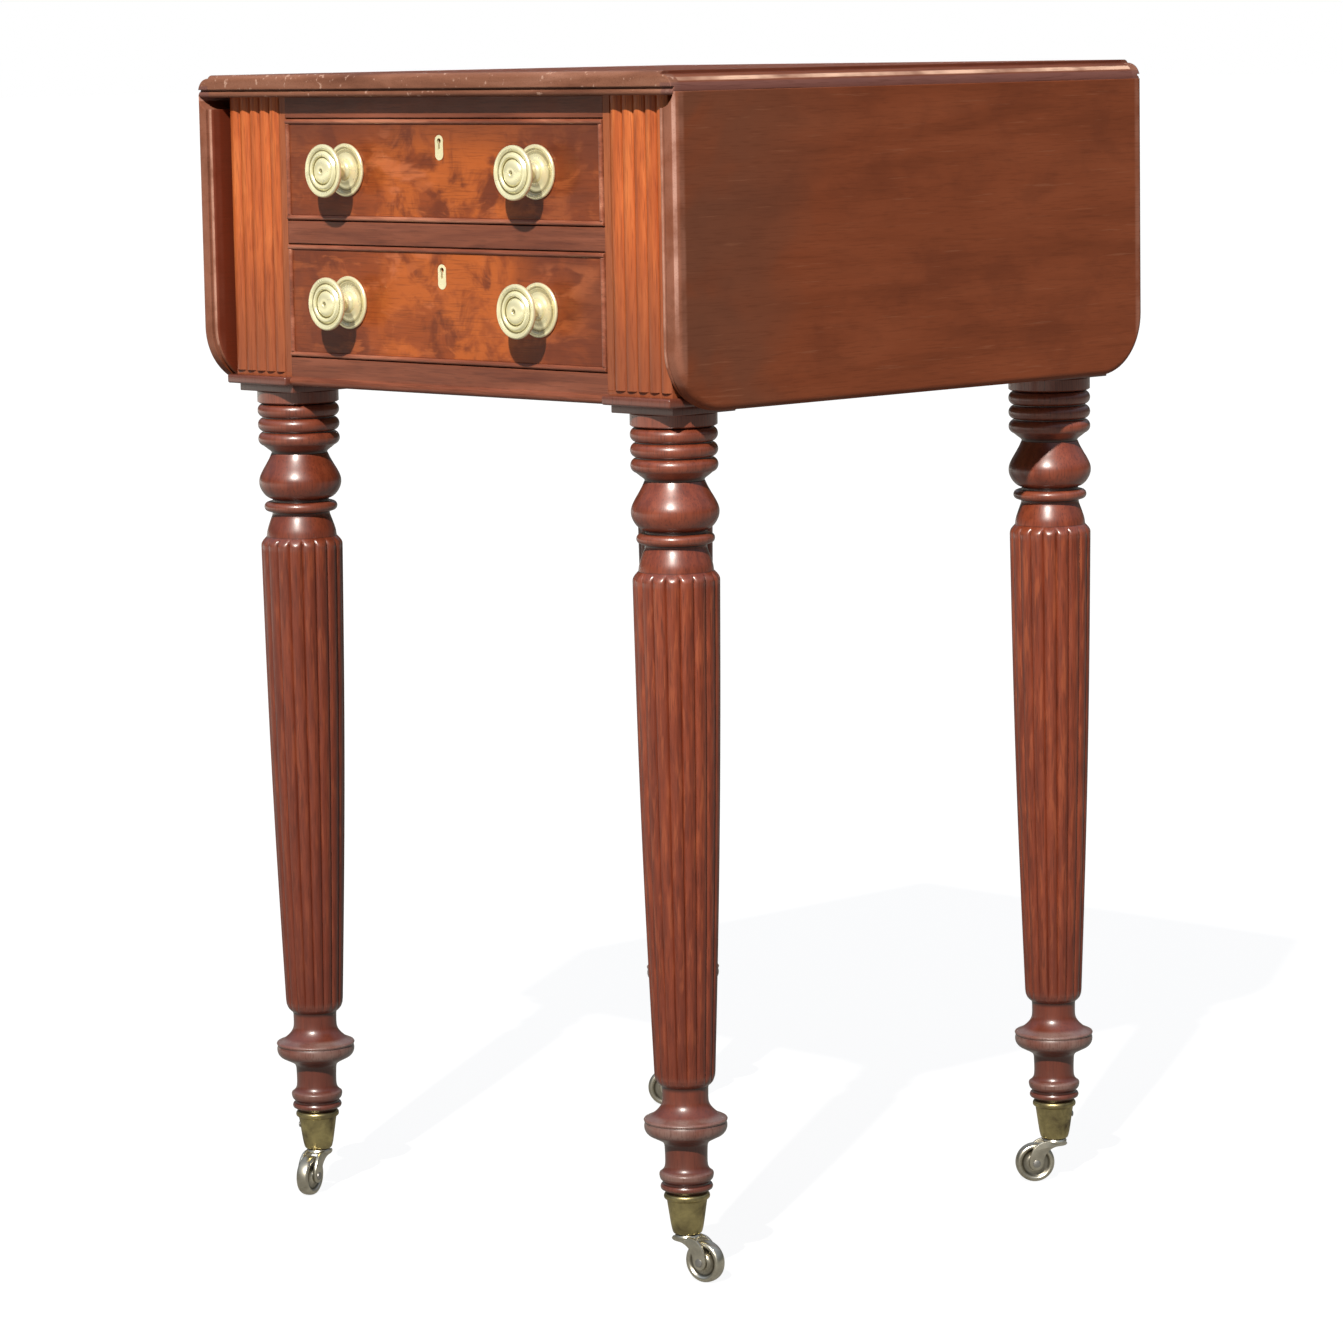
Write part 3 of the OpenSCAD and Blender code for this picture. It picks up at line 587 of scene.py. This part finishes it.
def leaf_wood():
    """Plain faded board, nearly matt, with a greyer cloud towards its front end."""
    wood = Wood("leaf_mahogany", LEAF_TONES, "y", streak=4, mottle=0.25, figure=0.12)
    low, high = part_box("leaf_right")
    across, along = wood.math("ABSOLUTE", wood.along("x")), wood.along("y")

    mottle = wood.noise(wood.coords((1, 0.6, 1)), 34, 5, 0.6, 0.4)
    wood.tint(wood.fit(mottle, 0.45, 0.7, to_high=0.4), srgb(100, 50, 31))
    front = wood.fit(along, -0.02, -0.19)
    cloud = wood.fit(wood.noise(wood.coords((1, 1, 1.6)), 9, 3, 0.55, 0.5), 0.38, 0.6)
    wood.tint(wood.both(front, cloud, 0.7), srgb(106, 66, 49))
    scratch = wood.noise(wood.coords((14, 0.6, 14), turn=(0.1, 0, 0)), 34, 3, 0.6)
    wood.tint(wood.fit(scratch, 0.62, 0.72, to_high=0.3), srgb(150, 96, 70))

    # Moulded ends pale with wear; the inner face, which faces the carcass, darkened red as painted
    # shade, and a painted highlight line beside its ends
    wood.wear_and_highlight(wood.ends(along, low.y, high.y, 0.006, 0.0025), srgb(156, 104, 84), 0.7)
    # Painted shade on the inner face
    inner_face_shade = wood.fit(across, low.x + 0.0009, low.x + 0.0005)
    wood.tint(wood.both(inner_face_shade, 0.75), srgb(104, 36, 18))
    # Painted highlight: pale line along the bead beside the inner face's ends
    inner_ends = wood.ends(along, low.y, high.y, 0.0022, 0.0008)
    inner_highlight_line = wood.band(across, low.x + 0.001, low.x + 0.0026, 0.0004)
    wood.wear_and_highlight(wood.both(inner_ends, inner_highlight_line), srgb(206, 156, 136), 0.7)

    # A painted highlight along the outer arris, pale and patchy like wear, left off at the foot
    arris = wood.band(across, high.x - 0.0024, high.x - 0.001, 0.0005)
    above_foot = wood.fit(wood.along("z"), 0.56, 0.6)
    wood.wear_and_highlight(wood.both(arris, above_foot), srgb(206, 160, 144), 0.7)
    wood.edges_rounded_and_lit(light=0.4)
    wood.pored(0.2)
    return wood.finished(0.52, coat=0.03, coat_rough=0.35, spread=0.03, specular=0.14)


def top_wood():
    """The fixed top: greyish end mouldings with pale chips of wear, and along the rule joints a
    painted highlight line over a painted reflection.
    """
    wood = Wood("top_mahogany", TOP_TONES, "y", streak=9, mottle=0.12, figure=0.35)
    low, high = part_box("top_panel")
    middle, half = (low.y + high.y) / 2, (high.y - low.y) / 2

    depth = wood.math("ABSOLUTE", wood.math("SUBTRACT", wood.along("y"), middle))
    moulding = wood.fit(depth, half - 0.008, half - 0.006)
    streaks = wood.noise(wood.coords(GRAIN_SCALE["x"]), 9, 6, 0.6, 0.4)
    wood.tint(moulding, wood.ramp(streaks, *zip((0.3, 0.5, 0.72), MOULDING_TONES)))
    chips = wood.fit(wood.noise(wood.coords(), 260, 2, 0.5), 0.64, 0.72, to_high=0.5)
    wood.tint(wood.both(moulding, chips), srgb(214, 176, 156))

    # Rule joint: dark fillet at the top, a painted highlight line below it, and a greyish painted
    # reflection on the ovolo under that
    joint = wood.fit(wood.math("ABSOLUTE", wood.along("x")), 0.2035, 0.2045)
    height = wood.along("z")
    fillet = wood.fit(height, high.z - 0.0024, high.z - 0.0018)
    wood.tint(wood.both(joint, fillet), srgb(84, 34, 26))
    # Painted reflection: greyish band on the lower ovolo
    reflection_band = wood.fit(height, high.z - 0.006, high.z - 0.0075, to_high=0.7)
    wood.tint(wood.both(joint, reflection_band), srgb(112, 76, 72))
    # Painted highlight: pale line along the ovolo
    line = wood.band(height, high.z - 0.0056, high.z - 0.0042, 0.0007)
    between = wood.fit(moulding, 0.9, 0.1)
    wood.wear_and_highlight(wood.both(joint, wood.both(line, between)), srgb(232, 190, 164), 0.85, scale=18)
    wood.edges_rounded_and_lit()
    wood.pored(0.3)
    return wood.finished(0.5, coat=0.04, coat_rough=0.32, spread=0.03, specular=0.14)


def flame_wood():
    """Drawer fronts of flame mahogany: glowing in the middle, darker at the ends and the top."""
    wood = Wood("flame_mahogany", FLAME_TONES, "x", streak=3, mottle=0.35, figure=0.15)
    along, height = wood.along("x"), wood.along("z")

    blotch = wood.noise(wood.coords((1, 1, 1.5), turn=(0, 0.4, 0)), 22, 5, 0.6, 0.9)
    wood.tint(wood.fit(blotch, 0.47, 0.62, to_high=0.8), srgb(104, 46, 24))
    leaning = wood.coords((0.8, 1, 1.9), turn=(0, -0.6, 0), shift=(0.3, 0, 0.1))
    feather = wood.noise(leaning, 34, 4, 0.55, 1.0)
    wood.tint(wood.fit(feather, 0.54, 0.66, to_high=0.6), srgb(190, 102, 54))
    glow = wood.band(along, -0.03, 0.045, 0.05)
    broken = wood.fit(wood.noise(wood.coords(), 34, 4, 0.6, 0.6), 0.42, 0.58, to_high=0.75)
    wood.tint(wood.both(glow, broken), srgb(190, 98, 42))

    # Salmon flecks left of the keyhole, and on the lower drawer's right
    flecks = wood.noise(wood.coords((0.7, 1, 1.6), turn=(0, 0.2, 0)), 46, 3, 0.5, 0.5)
    left = wood.band(along, -0.055, -0.02, 0.02)
    wood.tint(wood.both(left, wood.fit(flecks, 0.54, 0.66, to_high=0.6)), srgb(198, 112, 70))
    right = wood.both(wood.band(along, 0.095, 0.13, 0.015), wood.band(height, 0.592, 0.604, 0.008))
    wood.tint(wood.both(right, wood.fit(flecks, 0.45, 0.58, to_high=0.65)), srgb(206, 116, 70))

    ends = wood.fit(wood.math("ABSOLUTE", along), 0.045, 0.14)
    ragged = wood.fit(wood.noise(wood.coords(), 24, 4, 0.6, 0.6), 0.3, 0.7, to_low=0.45)
    wood.tint(wood.both(ends, ragged, 0.8), srgb(106, 54, 37))
    wood.tint(wood.both(wood.fit(height, 0.668, 0.69), 0.6), srgb(100, 52, 36))
    wood.edges_rounded_and_lit(0.001, 0.3)
    wood.pored(0.3)
    return wood.finished(0.36, coat=0.16, coat_rough=0.18, specular=0.18)


def pilaster_wood():
    """Reeded posts, bleached orange and browner towards the foot."""
    wood = Wood("pilaster_mahogany", POST_TONES, "z", streak=16, mottle=0.3, figure=0.4)
    veins = wood.noise(wood.coords((20, 20, 1.4)), 9, 4, 0.6, 0.5)
    wood.tint(wood.fit(veins, 0.5, 0.66, to_high=0.6), srgb(142, 62, 32))
    inner_strip = wood.fit(wood.math("ABSOLUTE", wood.along("x")), 0.1502, 0.1496)
    wood.tint(wood.both(inner_strip, 0.75), srgb(132, 76, 52))
    # Painted shade in the reeds' quirks, painted highlight on their arrises
    wood.hollows_shaded_arrises_lit(0.6, 0.1)
    patchy = wood.fit(wood.noise(wood.coords((6, 6, 1)), 14, 3, 0.5), 0.3, 0.6, to_low=0.7)
    foot = wood.fit(wood.along("z"), 0.645, 0.54)
    wood.tint(wood.both(foot, patchy, 0.85), srgb(134, 72, 46))
    wood.pored(0.4)
    return wood.finished(0.42, coat=0.15, coat_rough=0.2)


def leg_wood():
    """Turned and reeded legs, dark red under glossy old polish, duller along the reeds."""
    wood = Wood("leg_mahogany", LEG_TONES, "z", streak=14, mottle=0.2, figure=0.35)
    height = wood.along("z")
    slab_z = (RAIL_Z - SLAB_H) * MM
    wood.tint(wood.fit(height, 0.125, 0.06, to_high=0.65), srgb(92, 50, 38))
    # Ledge and slab darker and redder: partly their own tone, partly painted shade on the slab
    # under the ledge
    wood.tint(wood.fit(height, slab_z - 0.001, slab_z + 0.001, to_high=0.85), srgb(88, 34, 18))

    # The reeded shaft is flecked, and darker towards the foot and on the left of the table
    shaft = wood.band(height, 0.128, 0.419, 0.004)
    flecks = wood.noise(wood.coords((16, 16, 1.6)), 22, 3, 0.55, 0.2)
    wood.tint(wood.both(shaft, wood.fit(flecks, 0.52, 0.66, to_high=0.55)), srgb(164, 84, 50))
    wood.tint(wood.both(shaft, wood.fit(flecks, 0.46, 0.34, to_high=0.5)), srgb(92, 38, 22))
    wood.tint(wood.fit(height, 0.4, 0.15, to_low=0.05, to_high=0.3), srgb(84, 34, 22))
    wood.tint(wood.fit(height, 0.2, 0.13, to_high=0.3), srgb(78, 34, 24))
    wood.tint(wood.fit(wood.along("x"), 0.1, -0.1, to_high=0.35), srgb(84, 34, 22))
    # Painted shade in the rings' hollows and the reeds' quirks, painted highlight on the arrises
    wood.hollows_shaded_arrises_lit(0.9, 0.14, srgb(170, 112, 92))

    # Patchy grey round the foot ring and the small ring under it
    wood.wear_and_highlight(wood.band(height, 0.0915, 0.1005, 0.002), srgb(128, 102, 94), 0.8)
    wood.wear_and_highlight(wood.band(height, 0.0635, 0.0665, 0.001), srgb(128, 102, 94), 0.7)
    wood.pored(0.5)
    wood.finished(0.4, coat_rough=0.27, specular=0.5)
    polish = wood.fit(shaft, 0.0, 1.0, to_low=0.9, to_high=0.15)
    wood.link(polish, wood.shader.inputs["Coat Weight"])
    return wood.material


class Metal(Graph):
    """Cast brass or steel: bright under cloudy toning, darker in its hollows as painted shade over
    some tarnish, with fine pits.
    """

    def __init__(self, name, colour, dull, rough, blotch, hollows=0.0, metallic=1.0):
        super().__init__(name)
        self.shader.inputs["Metallic"].default_value = metallic
        clouds = self.noise(self.coords(), 90, 5, 0.6, 0.3)
        tone = self.mix(self.ramp(clouds, (0.35, 0.0), (0.75, blotch)), colour, dull)
        if hollows:
            # Painted shade: hollows darkened towards a deep tarnish colour, in place of occlusion
            # and dark reflections
            hollow_shade = self.fit(self.hollow(), 0.505, 0.61, to_high=hollows)
            tone = self.mix(hollow_shade, tone, scaled(dull, 0.32))
        self.link(tone, self.shader.inputs["Base Color"])
        roughness = self.ramp(clouds, (0.3, rough), (0.8, rough + 0.25))
        self.link(roughness, self.shader.inputs["Roughness"])
        pits = self.noise(self.coords(), 700, 3, 0.6)
        self.link(self.bump(pits, 0.08, 0.0002), self.shader.inputs["Normal"])


# ---------------------------------------------------------------- legs

# The leg's shoulder, under which its reeds begin, and the foot of its reeded shaft
SHOULDER_Z = RAIL_Z - 103.5
SHAFT_END_Z = 127
SHAFT_R = 26
SHAFT_TAPER = 7.6
SHAFT_SWELL = 1.2
SHAFT_STEPS = 26
# Reeds are this deep where the shaft's radius is REED_FULL_R, and shallower in step with it
REED_DEPTH = 1.95
REED_FULL_R = 22
# The three rings under the slab
RINGS = 3
RING_Z = RAIL_Z - 17.8
RING_PITCH = 9.1


def leg_profile():
    """(radius, height) of the turned leg, from the slab down to the tip inside the caster cup."""
    neck_z = RAIL_Z - SLAB_H
    points = [(0, neck_z), (25.4, neck_z), (25.9, neck_z - 0.6)]
    points += [(25.9, RING_Z + 5.6), (24.9, RING_Z + 4.9)]
    for i in range(RINGS):
        points += arc(21.4, RING_Z - i * RING_PITCH, 4.6, 72, -72, 10)
    last_ring_z = RING_Z - (RINGS - 1) * RING_PITCH
    points += raised([(20.6, -6.2), (18.2, -8.0), (17.6, -9.2), (17.6, -10.4)], last_ring_z)
    # Tulip-shaped ball, collar and bell
    points += smooth(raised([
        (18.0, 58.0), (19.4, 54.8), (21.5, 51.0), (23.9, 46.9), (25.6, 43.2), (26.2, 39.9),
        (25.6, 36.3), (23.6, 32.6), (20.9, 30.0), (18.2, 28.8)], SHOULDER_Z))
    points += raised([(17.9, 28.0), (18.0, 27.2)], SHOULDER_Z)
    points += arc(20.2, SHOULDER_Z + 24, 3.1, 80, -80, 8)
    points += smooth(raised([
        (18.3, 20.2), (18.6, 18.2), (20.2, 13.8), (21.8, 8.8), (22.4, 4.8)], SHOULDER_Z))
    # Sloping shoulder where the reeds begin, then the tapered shaft with a slight swelling
    points += raised([(23.2, 4.0), (24.5, 2.6), (25.4, 1.3), (25.9, 0.1)], SHOULDER_Z)
    for i in range(SHAFT_STEPS + 1):
        t = i / SHAFT_STEPS
        radius = SHAFT_R - SHAFT_TAPER * t + SHAFT_SWELL * math.sin(math.pi * t)
        points.append((radius, SHOULDER_Z - 1 + (SHAFT_END_Z + 1 - SHOULDER_Z) * t))
    points += smooth([(18.1, 124.4), (17.1, 121.8), (15.5, 120.0), (14.2, 119.0)], 3)
    # Foot ring with its lip, neck, and two small rings above the cup
    points += smooth([
        (13.9, 117.5), (13.9, 110.5), (14.8, 107.0), (17.2, 103.8), (20.6, 101.0), (23.8, 99.6)])
    points += [(24.8, 99.1), (25.2, 98.4), (24.9, 97.5)]
    points += arc(18.7, 94.4, 6.3, 26, -58, 9)
    points += smooth([
        (19.6, 87.8), (15.4, 85.6), (13.4, 83.6), (12.9, 80.0), (12.8, 72.0), (13.5, 68.6),
        (15.2, 66.6)])
    points += smooth([(16.1, 66.0), (16.4, 64.8), (15.9, 62.4), (14.6, 60.8)], 3)
    points += [(14.1, 60.2), (14.1, 59.2)]
    points += smooth([(15.3, 58.8), (15.8, 57.5), (15.3, 56.0), (13.8, 55.2)], 3)
    points += [(12.6, 54.8), (11.8, 53.5), (8.3, 31.4), (0, 31.4)]
    return points


def reed_radius(radius, height, angle):
    """Radius of the shaft: rounded reeds, with quirks that start as pointed notches."""
    # 0 on a reed's crown, 1 in the quirk beside it
    across = abs((angle * LEG_REEDS / (2 * math.pi)) % 1 - 0.5) * 2
    start_z = SHOULDER_Z + 4.2 - 3.0 * (1 - across) ** 0.8
    fade_in = min(1.0, max(0.0, (start_z - height) / 3.0))
    fade_out = min(1.0, max(0.0, (height - SHAFT_END_Z + 7.0) / 7.0))
    drop = 1 - math.sqrt(max(0.0, 1 - (0.985 * across) ** 2))
    return radius - REED_DEPTH * drop * fade_in * fade_out * radius / REED_FULL_R


def draw_turned_leg(bm):
    lathe(bm, leg_profile(), LEG_REEDS * 12, radius_at=reed_radius)


def post_outline():
    """Plan of the post: five reeds and a plain inner strip in front; outer corner at +x, -y."""
    half = POST / 2
    pitch = REED_ZONE / POST_REEDS
    strip_end = half - REED_ZONE
    points = [(-half, half), (-half, -half)]
    points += [(strip_end - 0.6, -half), (strip_end - 0.1, 1.6 - half)]
    for i in reversed(range(POST_REEDS)):
        points += arc(half - pitch * (i + 0.5), 3.9 - half, 5.9, 219, 321, 10)
        if i:
            points.append((half - pitch * i, 0.9 - half))
    return points + [(half, 1.9 - half), (half, half)]


def draw_post(bm):
    half = POST / 2
    start_z = RAIL_Z + POST_REED_START
    prism(bm, post_outline(), start_z, UNDER_Z)
    block(bm, (-half, -half, RAIL_Z + LEDGE_H - 0.5), (half, half, start_z), 0.3)


def draw_foot_of_post(bm):
    """Ledge round the foot of the post, and the square slab under it."""
    half = POST / 2
    ledge_top = (half + LEDGE_SIDE, half, RAIL_Z + LEDGE_H)
    block(bm, (-half, -half - LEDGE_FRONT, RAIL_Z), ledge_top, 1.3)
    half = SLAB / 2
    block(bm, (-half, -half, RAIL_Z - SLAB_H), (half, half, RAIL_Z + 0.5), 0.6)


def at_leg(sx, sy, z=0):
    """The leg's axis on the side sx, sy of the table, at the height z."""
    return Matrix.Translation((sx * LEG_X, MID_Y + sy * LEG_Y, z))


def make_legs(wood, pilaster):
    for name, (sx, sy, _) in CASTERS.items():
        place = at_leg(sx, sy) @ Matrix.Diagonal((sx, -sy, 1, 1))

        def draw(bm):
            turned(place, draw_turned_leg)(bm)
            turned(place, draw_foot_of_post)(bm)
            before = set(bm.faces)
            turned(place, draw_post)(bm)
            for face in bm.faces:
                if face not in before:
                    face.material_index = 1

        piece(f"turned_leg_{name}", draw, [wood, pilaster], "carcass", [f"leg_{name}"])


# ---------------------------------------------------------------- knobs and casters

QUARTER = math.pi / 2


def draw_knob(bm):
    """Knob along +z from the drawer front: waisted neck and a ringed disc with a dimpled boss."""
    back = smooth([
        (6.6, 2.4), (6.2, 3.6), (5.0, 5.4), (4.6, 8.0), (4.9, 11.4), (6.4, 14.2), (9.6, 16.2),
        (14.2, 17.2)])
    rim = smooth([
        (15.5, 17.5), (16.2, 18.2), (16.4, 19.1), (16.0, 20.1), (15.0, 20.6), (13.9, 20.2),
        (12.8, 19.5)])
    ring = smooth([(12.2, 19.4), (11.6, 20.0), (10.8, 20.8), (9.8, 21.0), (9.0, 20.4), (8.6, 19.5)])
    boss = smooth([
        (8.1, 19.4), (7.3, 20.3), (5.6, 21.1), (3.4, 21.45), (1.8, 21.3), (1.2, 20.7),
        (0.6, 20.4)])
    shank = [(0, -23), (2.1, -23), (2.5, -22.5), (2.5, 2.5), (0, 2.5)]
    lathe(bm, [(0, 2.4)] + back + rim + ring + boss + [(0, 20.3)], 64)
    lathe(bm, shank, 24)


def draw_rose(bm):
    """Pressed rose behind the knob, with a raised rim round a dish."""
    outer = smooth([
        (15.9, 0.0), (16.4, 0.6), (16.3, 1.5), (15.4, 2.1), (14.3, 1.9), (13.4, 1.1),
        (12.6, 0.8)])
    dish = smooth([(11.0, 0.8), (9.2, 1.2), (8.0, 1.9), (7.2, 2.4)])
    lathe(bm, [(2.6, 0.0)] + outer + dish + [(2.6, 2.4)], 64, closed=True)


def make_knobs(brass):
    for drawer in ("upper", "lower"):
        low, high = node_box(f"{drawer}_roses")
        z = (low.z + high.z) / 2
        for kind, draw_one in (("knobs", draw_knob), ("roses", draw_rose)):
            def draw(bm):
                for side in (-1, 1):
                    stand = Matrix.Translation((side * KNOB_X, high.y, z))
                    turned(stand @ Matrix.Rotation(QUARTER, 4, "X"), draw_one)(bm)
            piece(f"turned_{drawer}_{kind}", draw, [brass], f"{drawer}_drawer",
                  [f"{drawer}_{kind}"])


def draw_cup(bm):
    """Tapered brass cup with a rolled rim."""
    foot = smooth([(7.2, 28.3), (8.5, 28.9), (9.2, 30.6), (10.1, 35.0), (11.9, 47.2), (12.2, 49.2)])
    rim = smooth([(12.8, 49.6), (13.7, 50.4), (13.9, 51.7), (13.5, 52.9), (12.6, 53.5)], 3)
    inside = [(11.9, 53.5), (8.4, 31.3), (3.05, 31.3)]
    lathe(bm, [(3.05, 28.3)] + foot + rim + inside, 48, closed=True)


def draw_cup_screw(bm):
    """Domed screw head."""
    dome = smooth([(2.0, 0.1), (1.8, 0.6), (1.1, 1.0), (0.5, 1.1)])
    lathe(bm, [(0, -1.5), (1.1, -1.5), (1.1, 0)] + dome + [(0, 1.1)], 20)


def draw_fork(bm):
    """Swivel plate and two horn-shaped arms that carry the axle; trails along +x."""
    plate = [
        (0, 25.3), (6.8, 25.3), (7.7, 25.8), (7.9, 26.8), (7.3, 27.8), (6.2, 28.1), (2.85, 28.1),
        (2.85, 44.4), (0, 44.4)]
    lathe(bm, plate, 40)
    # The curve's last three points would run past where its outline closes
    horn = smooth([
        (-6.4, 27.0), (-7.2, 25.4), (-5.2, 24.0), (0.5, 23.2), (5.0, 20.6), (7.6, 16.8),
        (8.4, 12.8), (10.0, 9.4), (13.2, 8.2), (16.4, 9.6), (17.6, 13.0), (17.0, 18.0),
        (14.4, 23.0), (9.6, 26.6), (3.0, 27.6), (-3.0, 27.7)], 3)[:-3]
    gap, thick = WHEEL_W / 2 + 0.5, 2.2
    for side, (z0, z1) in ((-1, (0, thick)), (1, (-thick, 0))):
        before = set(bm.faces)
        lay = Matrix.Translation((0, side * gap, 0)) @ Matrix.Rotation(QUARTER, 4, "X")
        turned(lay, lambda b: prism(b, horn, z0, z1))(bm)
        flat = [f for f in bm.faces if f not in before and len(f.verts) > 4]
        edges = {e for f in flat for e in f.edges}
        bmesh.ops.bevel(bm, geom=list(edges), offset=0.6, segments=2, affect="EDGES", profile=0.5)


def draw_wheel(bm):
    """Solid wheel with rounded tread, dished sides and a hub, its axle along z."""
    half = WHEEL_W / 2
    side = smooth(raised([
        (4.3, 0), (5.0, -0.9), (6.4, -1.5), (8.4, -1.3), (9.8, -0.2), (10.8, 0)], half), 3)
    tread = smooth([
        (11.8, half - 0.4), (12.45, half - 1.6), (WHEEL_R, 0), (12.45, 1.6 - half),
        (11.8, 0.4 - half)])
    under = [(r, -z) for r, z in reversed(side)]
    lathe(bm, [(2.06, half)] + side + tread + under + [(2.06, -half)], 56, closed=True)


def draw_axle(bm):
    """Riveted axle with domed ends."""
    end = WHEEL_W / 2 + 3
    head = raised([(1.95, -0.3), (2.6, -0.2), (2.4, 0.3), (1.4, 0.6)], end)
    under = [(r, -z) for r, z in reversed(head)]
    lathe(bm, [(0, -end - 0.7)] + under + head + [(0, end + 0.7)], 24)


def make_casters(cup_brass, pale_brass, steel):
    def draw_cups(bm):
        for sx, sy, _ in CASTERS.values():
            turned(at_leg(sx, sy), draw_cup)(bm)

    def draw_cup_screws(bm):
        for name, (sx, sy, _) in CASTERS.items():
            facing = Matrix.Rotation(math.radians(SCREW_FACING[name]), 4, "Z")
            out = Matrix.Translation((SCREW_OUT, 0, 0)) @ Matrix.Rotation(QUARTER, 4, "Y")
            turned(at_leg(sx, sy, SCREW_Z) @ facing @ out, draw_cup_screw)(bm)

    piece("cast_cups", draw_cups, [cup_brass], "carcass", ["caster_cups"])
    piece("cup_screws", draw_cup_screws, [steel], "carcass", [])
    for name, (sx, sy, angle) in CASTERS.items():
        swivel = at_leg(sx, sy) @ Matrix.Rotation(math.radians(angle), 4, "Z")
        hub = swivel @ Matrix.Translation((TRAIL, 0, WHEEL_R)) @ Matrix.Rotation(QUARTER, 4, "X")
        for kind, place, draw, material, body, slot in (
                ("fork", swivel, draw_fork, pale_brass, "caster", "caster_metal"),
                ("axle", hub, draw_axle, steel, "caster", "steel"),
                ("wheel", hub, draw_wheel, pale_brass, "wheel", "caster_metal")):
            piece(f"cast_{kind}_{name}", turned(place, draw), [material], f"{body}_{name}",
                  [f"{kind}_{name}"])


# ---------------------------------------------------------------- materials on the CAD nodes

def paint(material, name):
    mesh = NODES[name].data
    mesh.materials.clear()
    mesh.materials.append(material)


def paint_nodes():
    """Gives every CAD node its material, and adds the detailed pieces."""
    carcass = board_wood("carcass_mahogany", CARCASS_TONES, "x")
    lining = board_wood("lining_pine", PINE_TONES, "y", rough=0.6, coat=0.0)
    brass = Metal("polished_brass", (1.0, 0.95, 0.62), (0.76, 0.63, 0.26), rough=0.2, blotch=0.2,
                  hollows=1.0, metallic=0.52).material
    aged = Metal("aged_brass", (0.62, 0.52, 0.24), (0.08, 0.056, 0.04), rough=0.28, blotch=0.95,
                 hollows=0.8).material
    pale = Metal("caster_metal", (0.8, 0.76, 0.64), (0.25, 0.22, 0.16), rough=0.24, blotch=0.8,
                 hollows=0.85).material
    steel = Metal("screw_steel", (0.5, 0.49, 0.47), (0.2, 0.17, 0.14), rough=0.35,
                  blotch=0.6).material
    by_slot = {
        "mahogany_top": top_wood(),
        "mahogany_leaf": leaf_wood(),
        "mahogany_leg": carcass,
        "mahogany_carcass": carcass,
        "mahogany_drawer": flame_wood(),
        "cockbead": board_wood("bead_mahogany", BEAD_TONES, "x", rough=0.35, coat=0.3),
        "lining_wood": lining,
        "tray_wood": lining,
        "polished_brass": brass,
        "aged_brass": aged,
        "caster_metal": pale,
        "steel": steel,
    }
    for part in frame["record"]["subparts"]:
        paint(by_slot[part["material_slot"]], part["node"])
    paint(board_wood("side_mahogany", SIDE_TONES, "y", rough=0.45, coat=0.1), "side_panels")
    make_legs(leg_wood(), pilaster_wood())
    make_knobs(brass)
    make_casters(aged, pale, steel)


make_camera()
make_floor()
make_light()
paint_nodes()
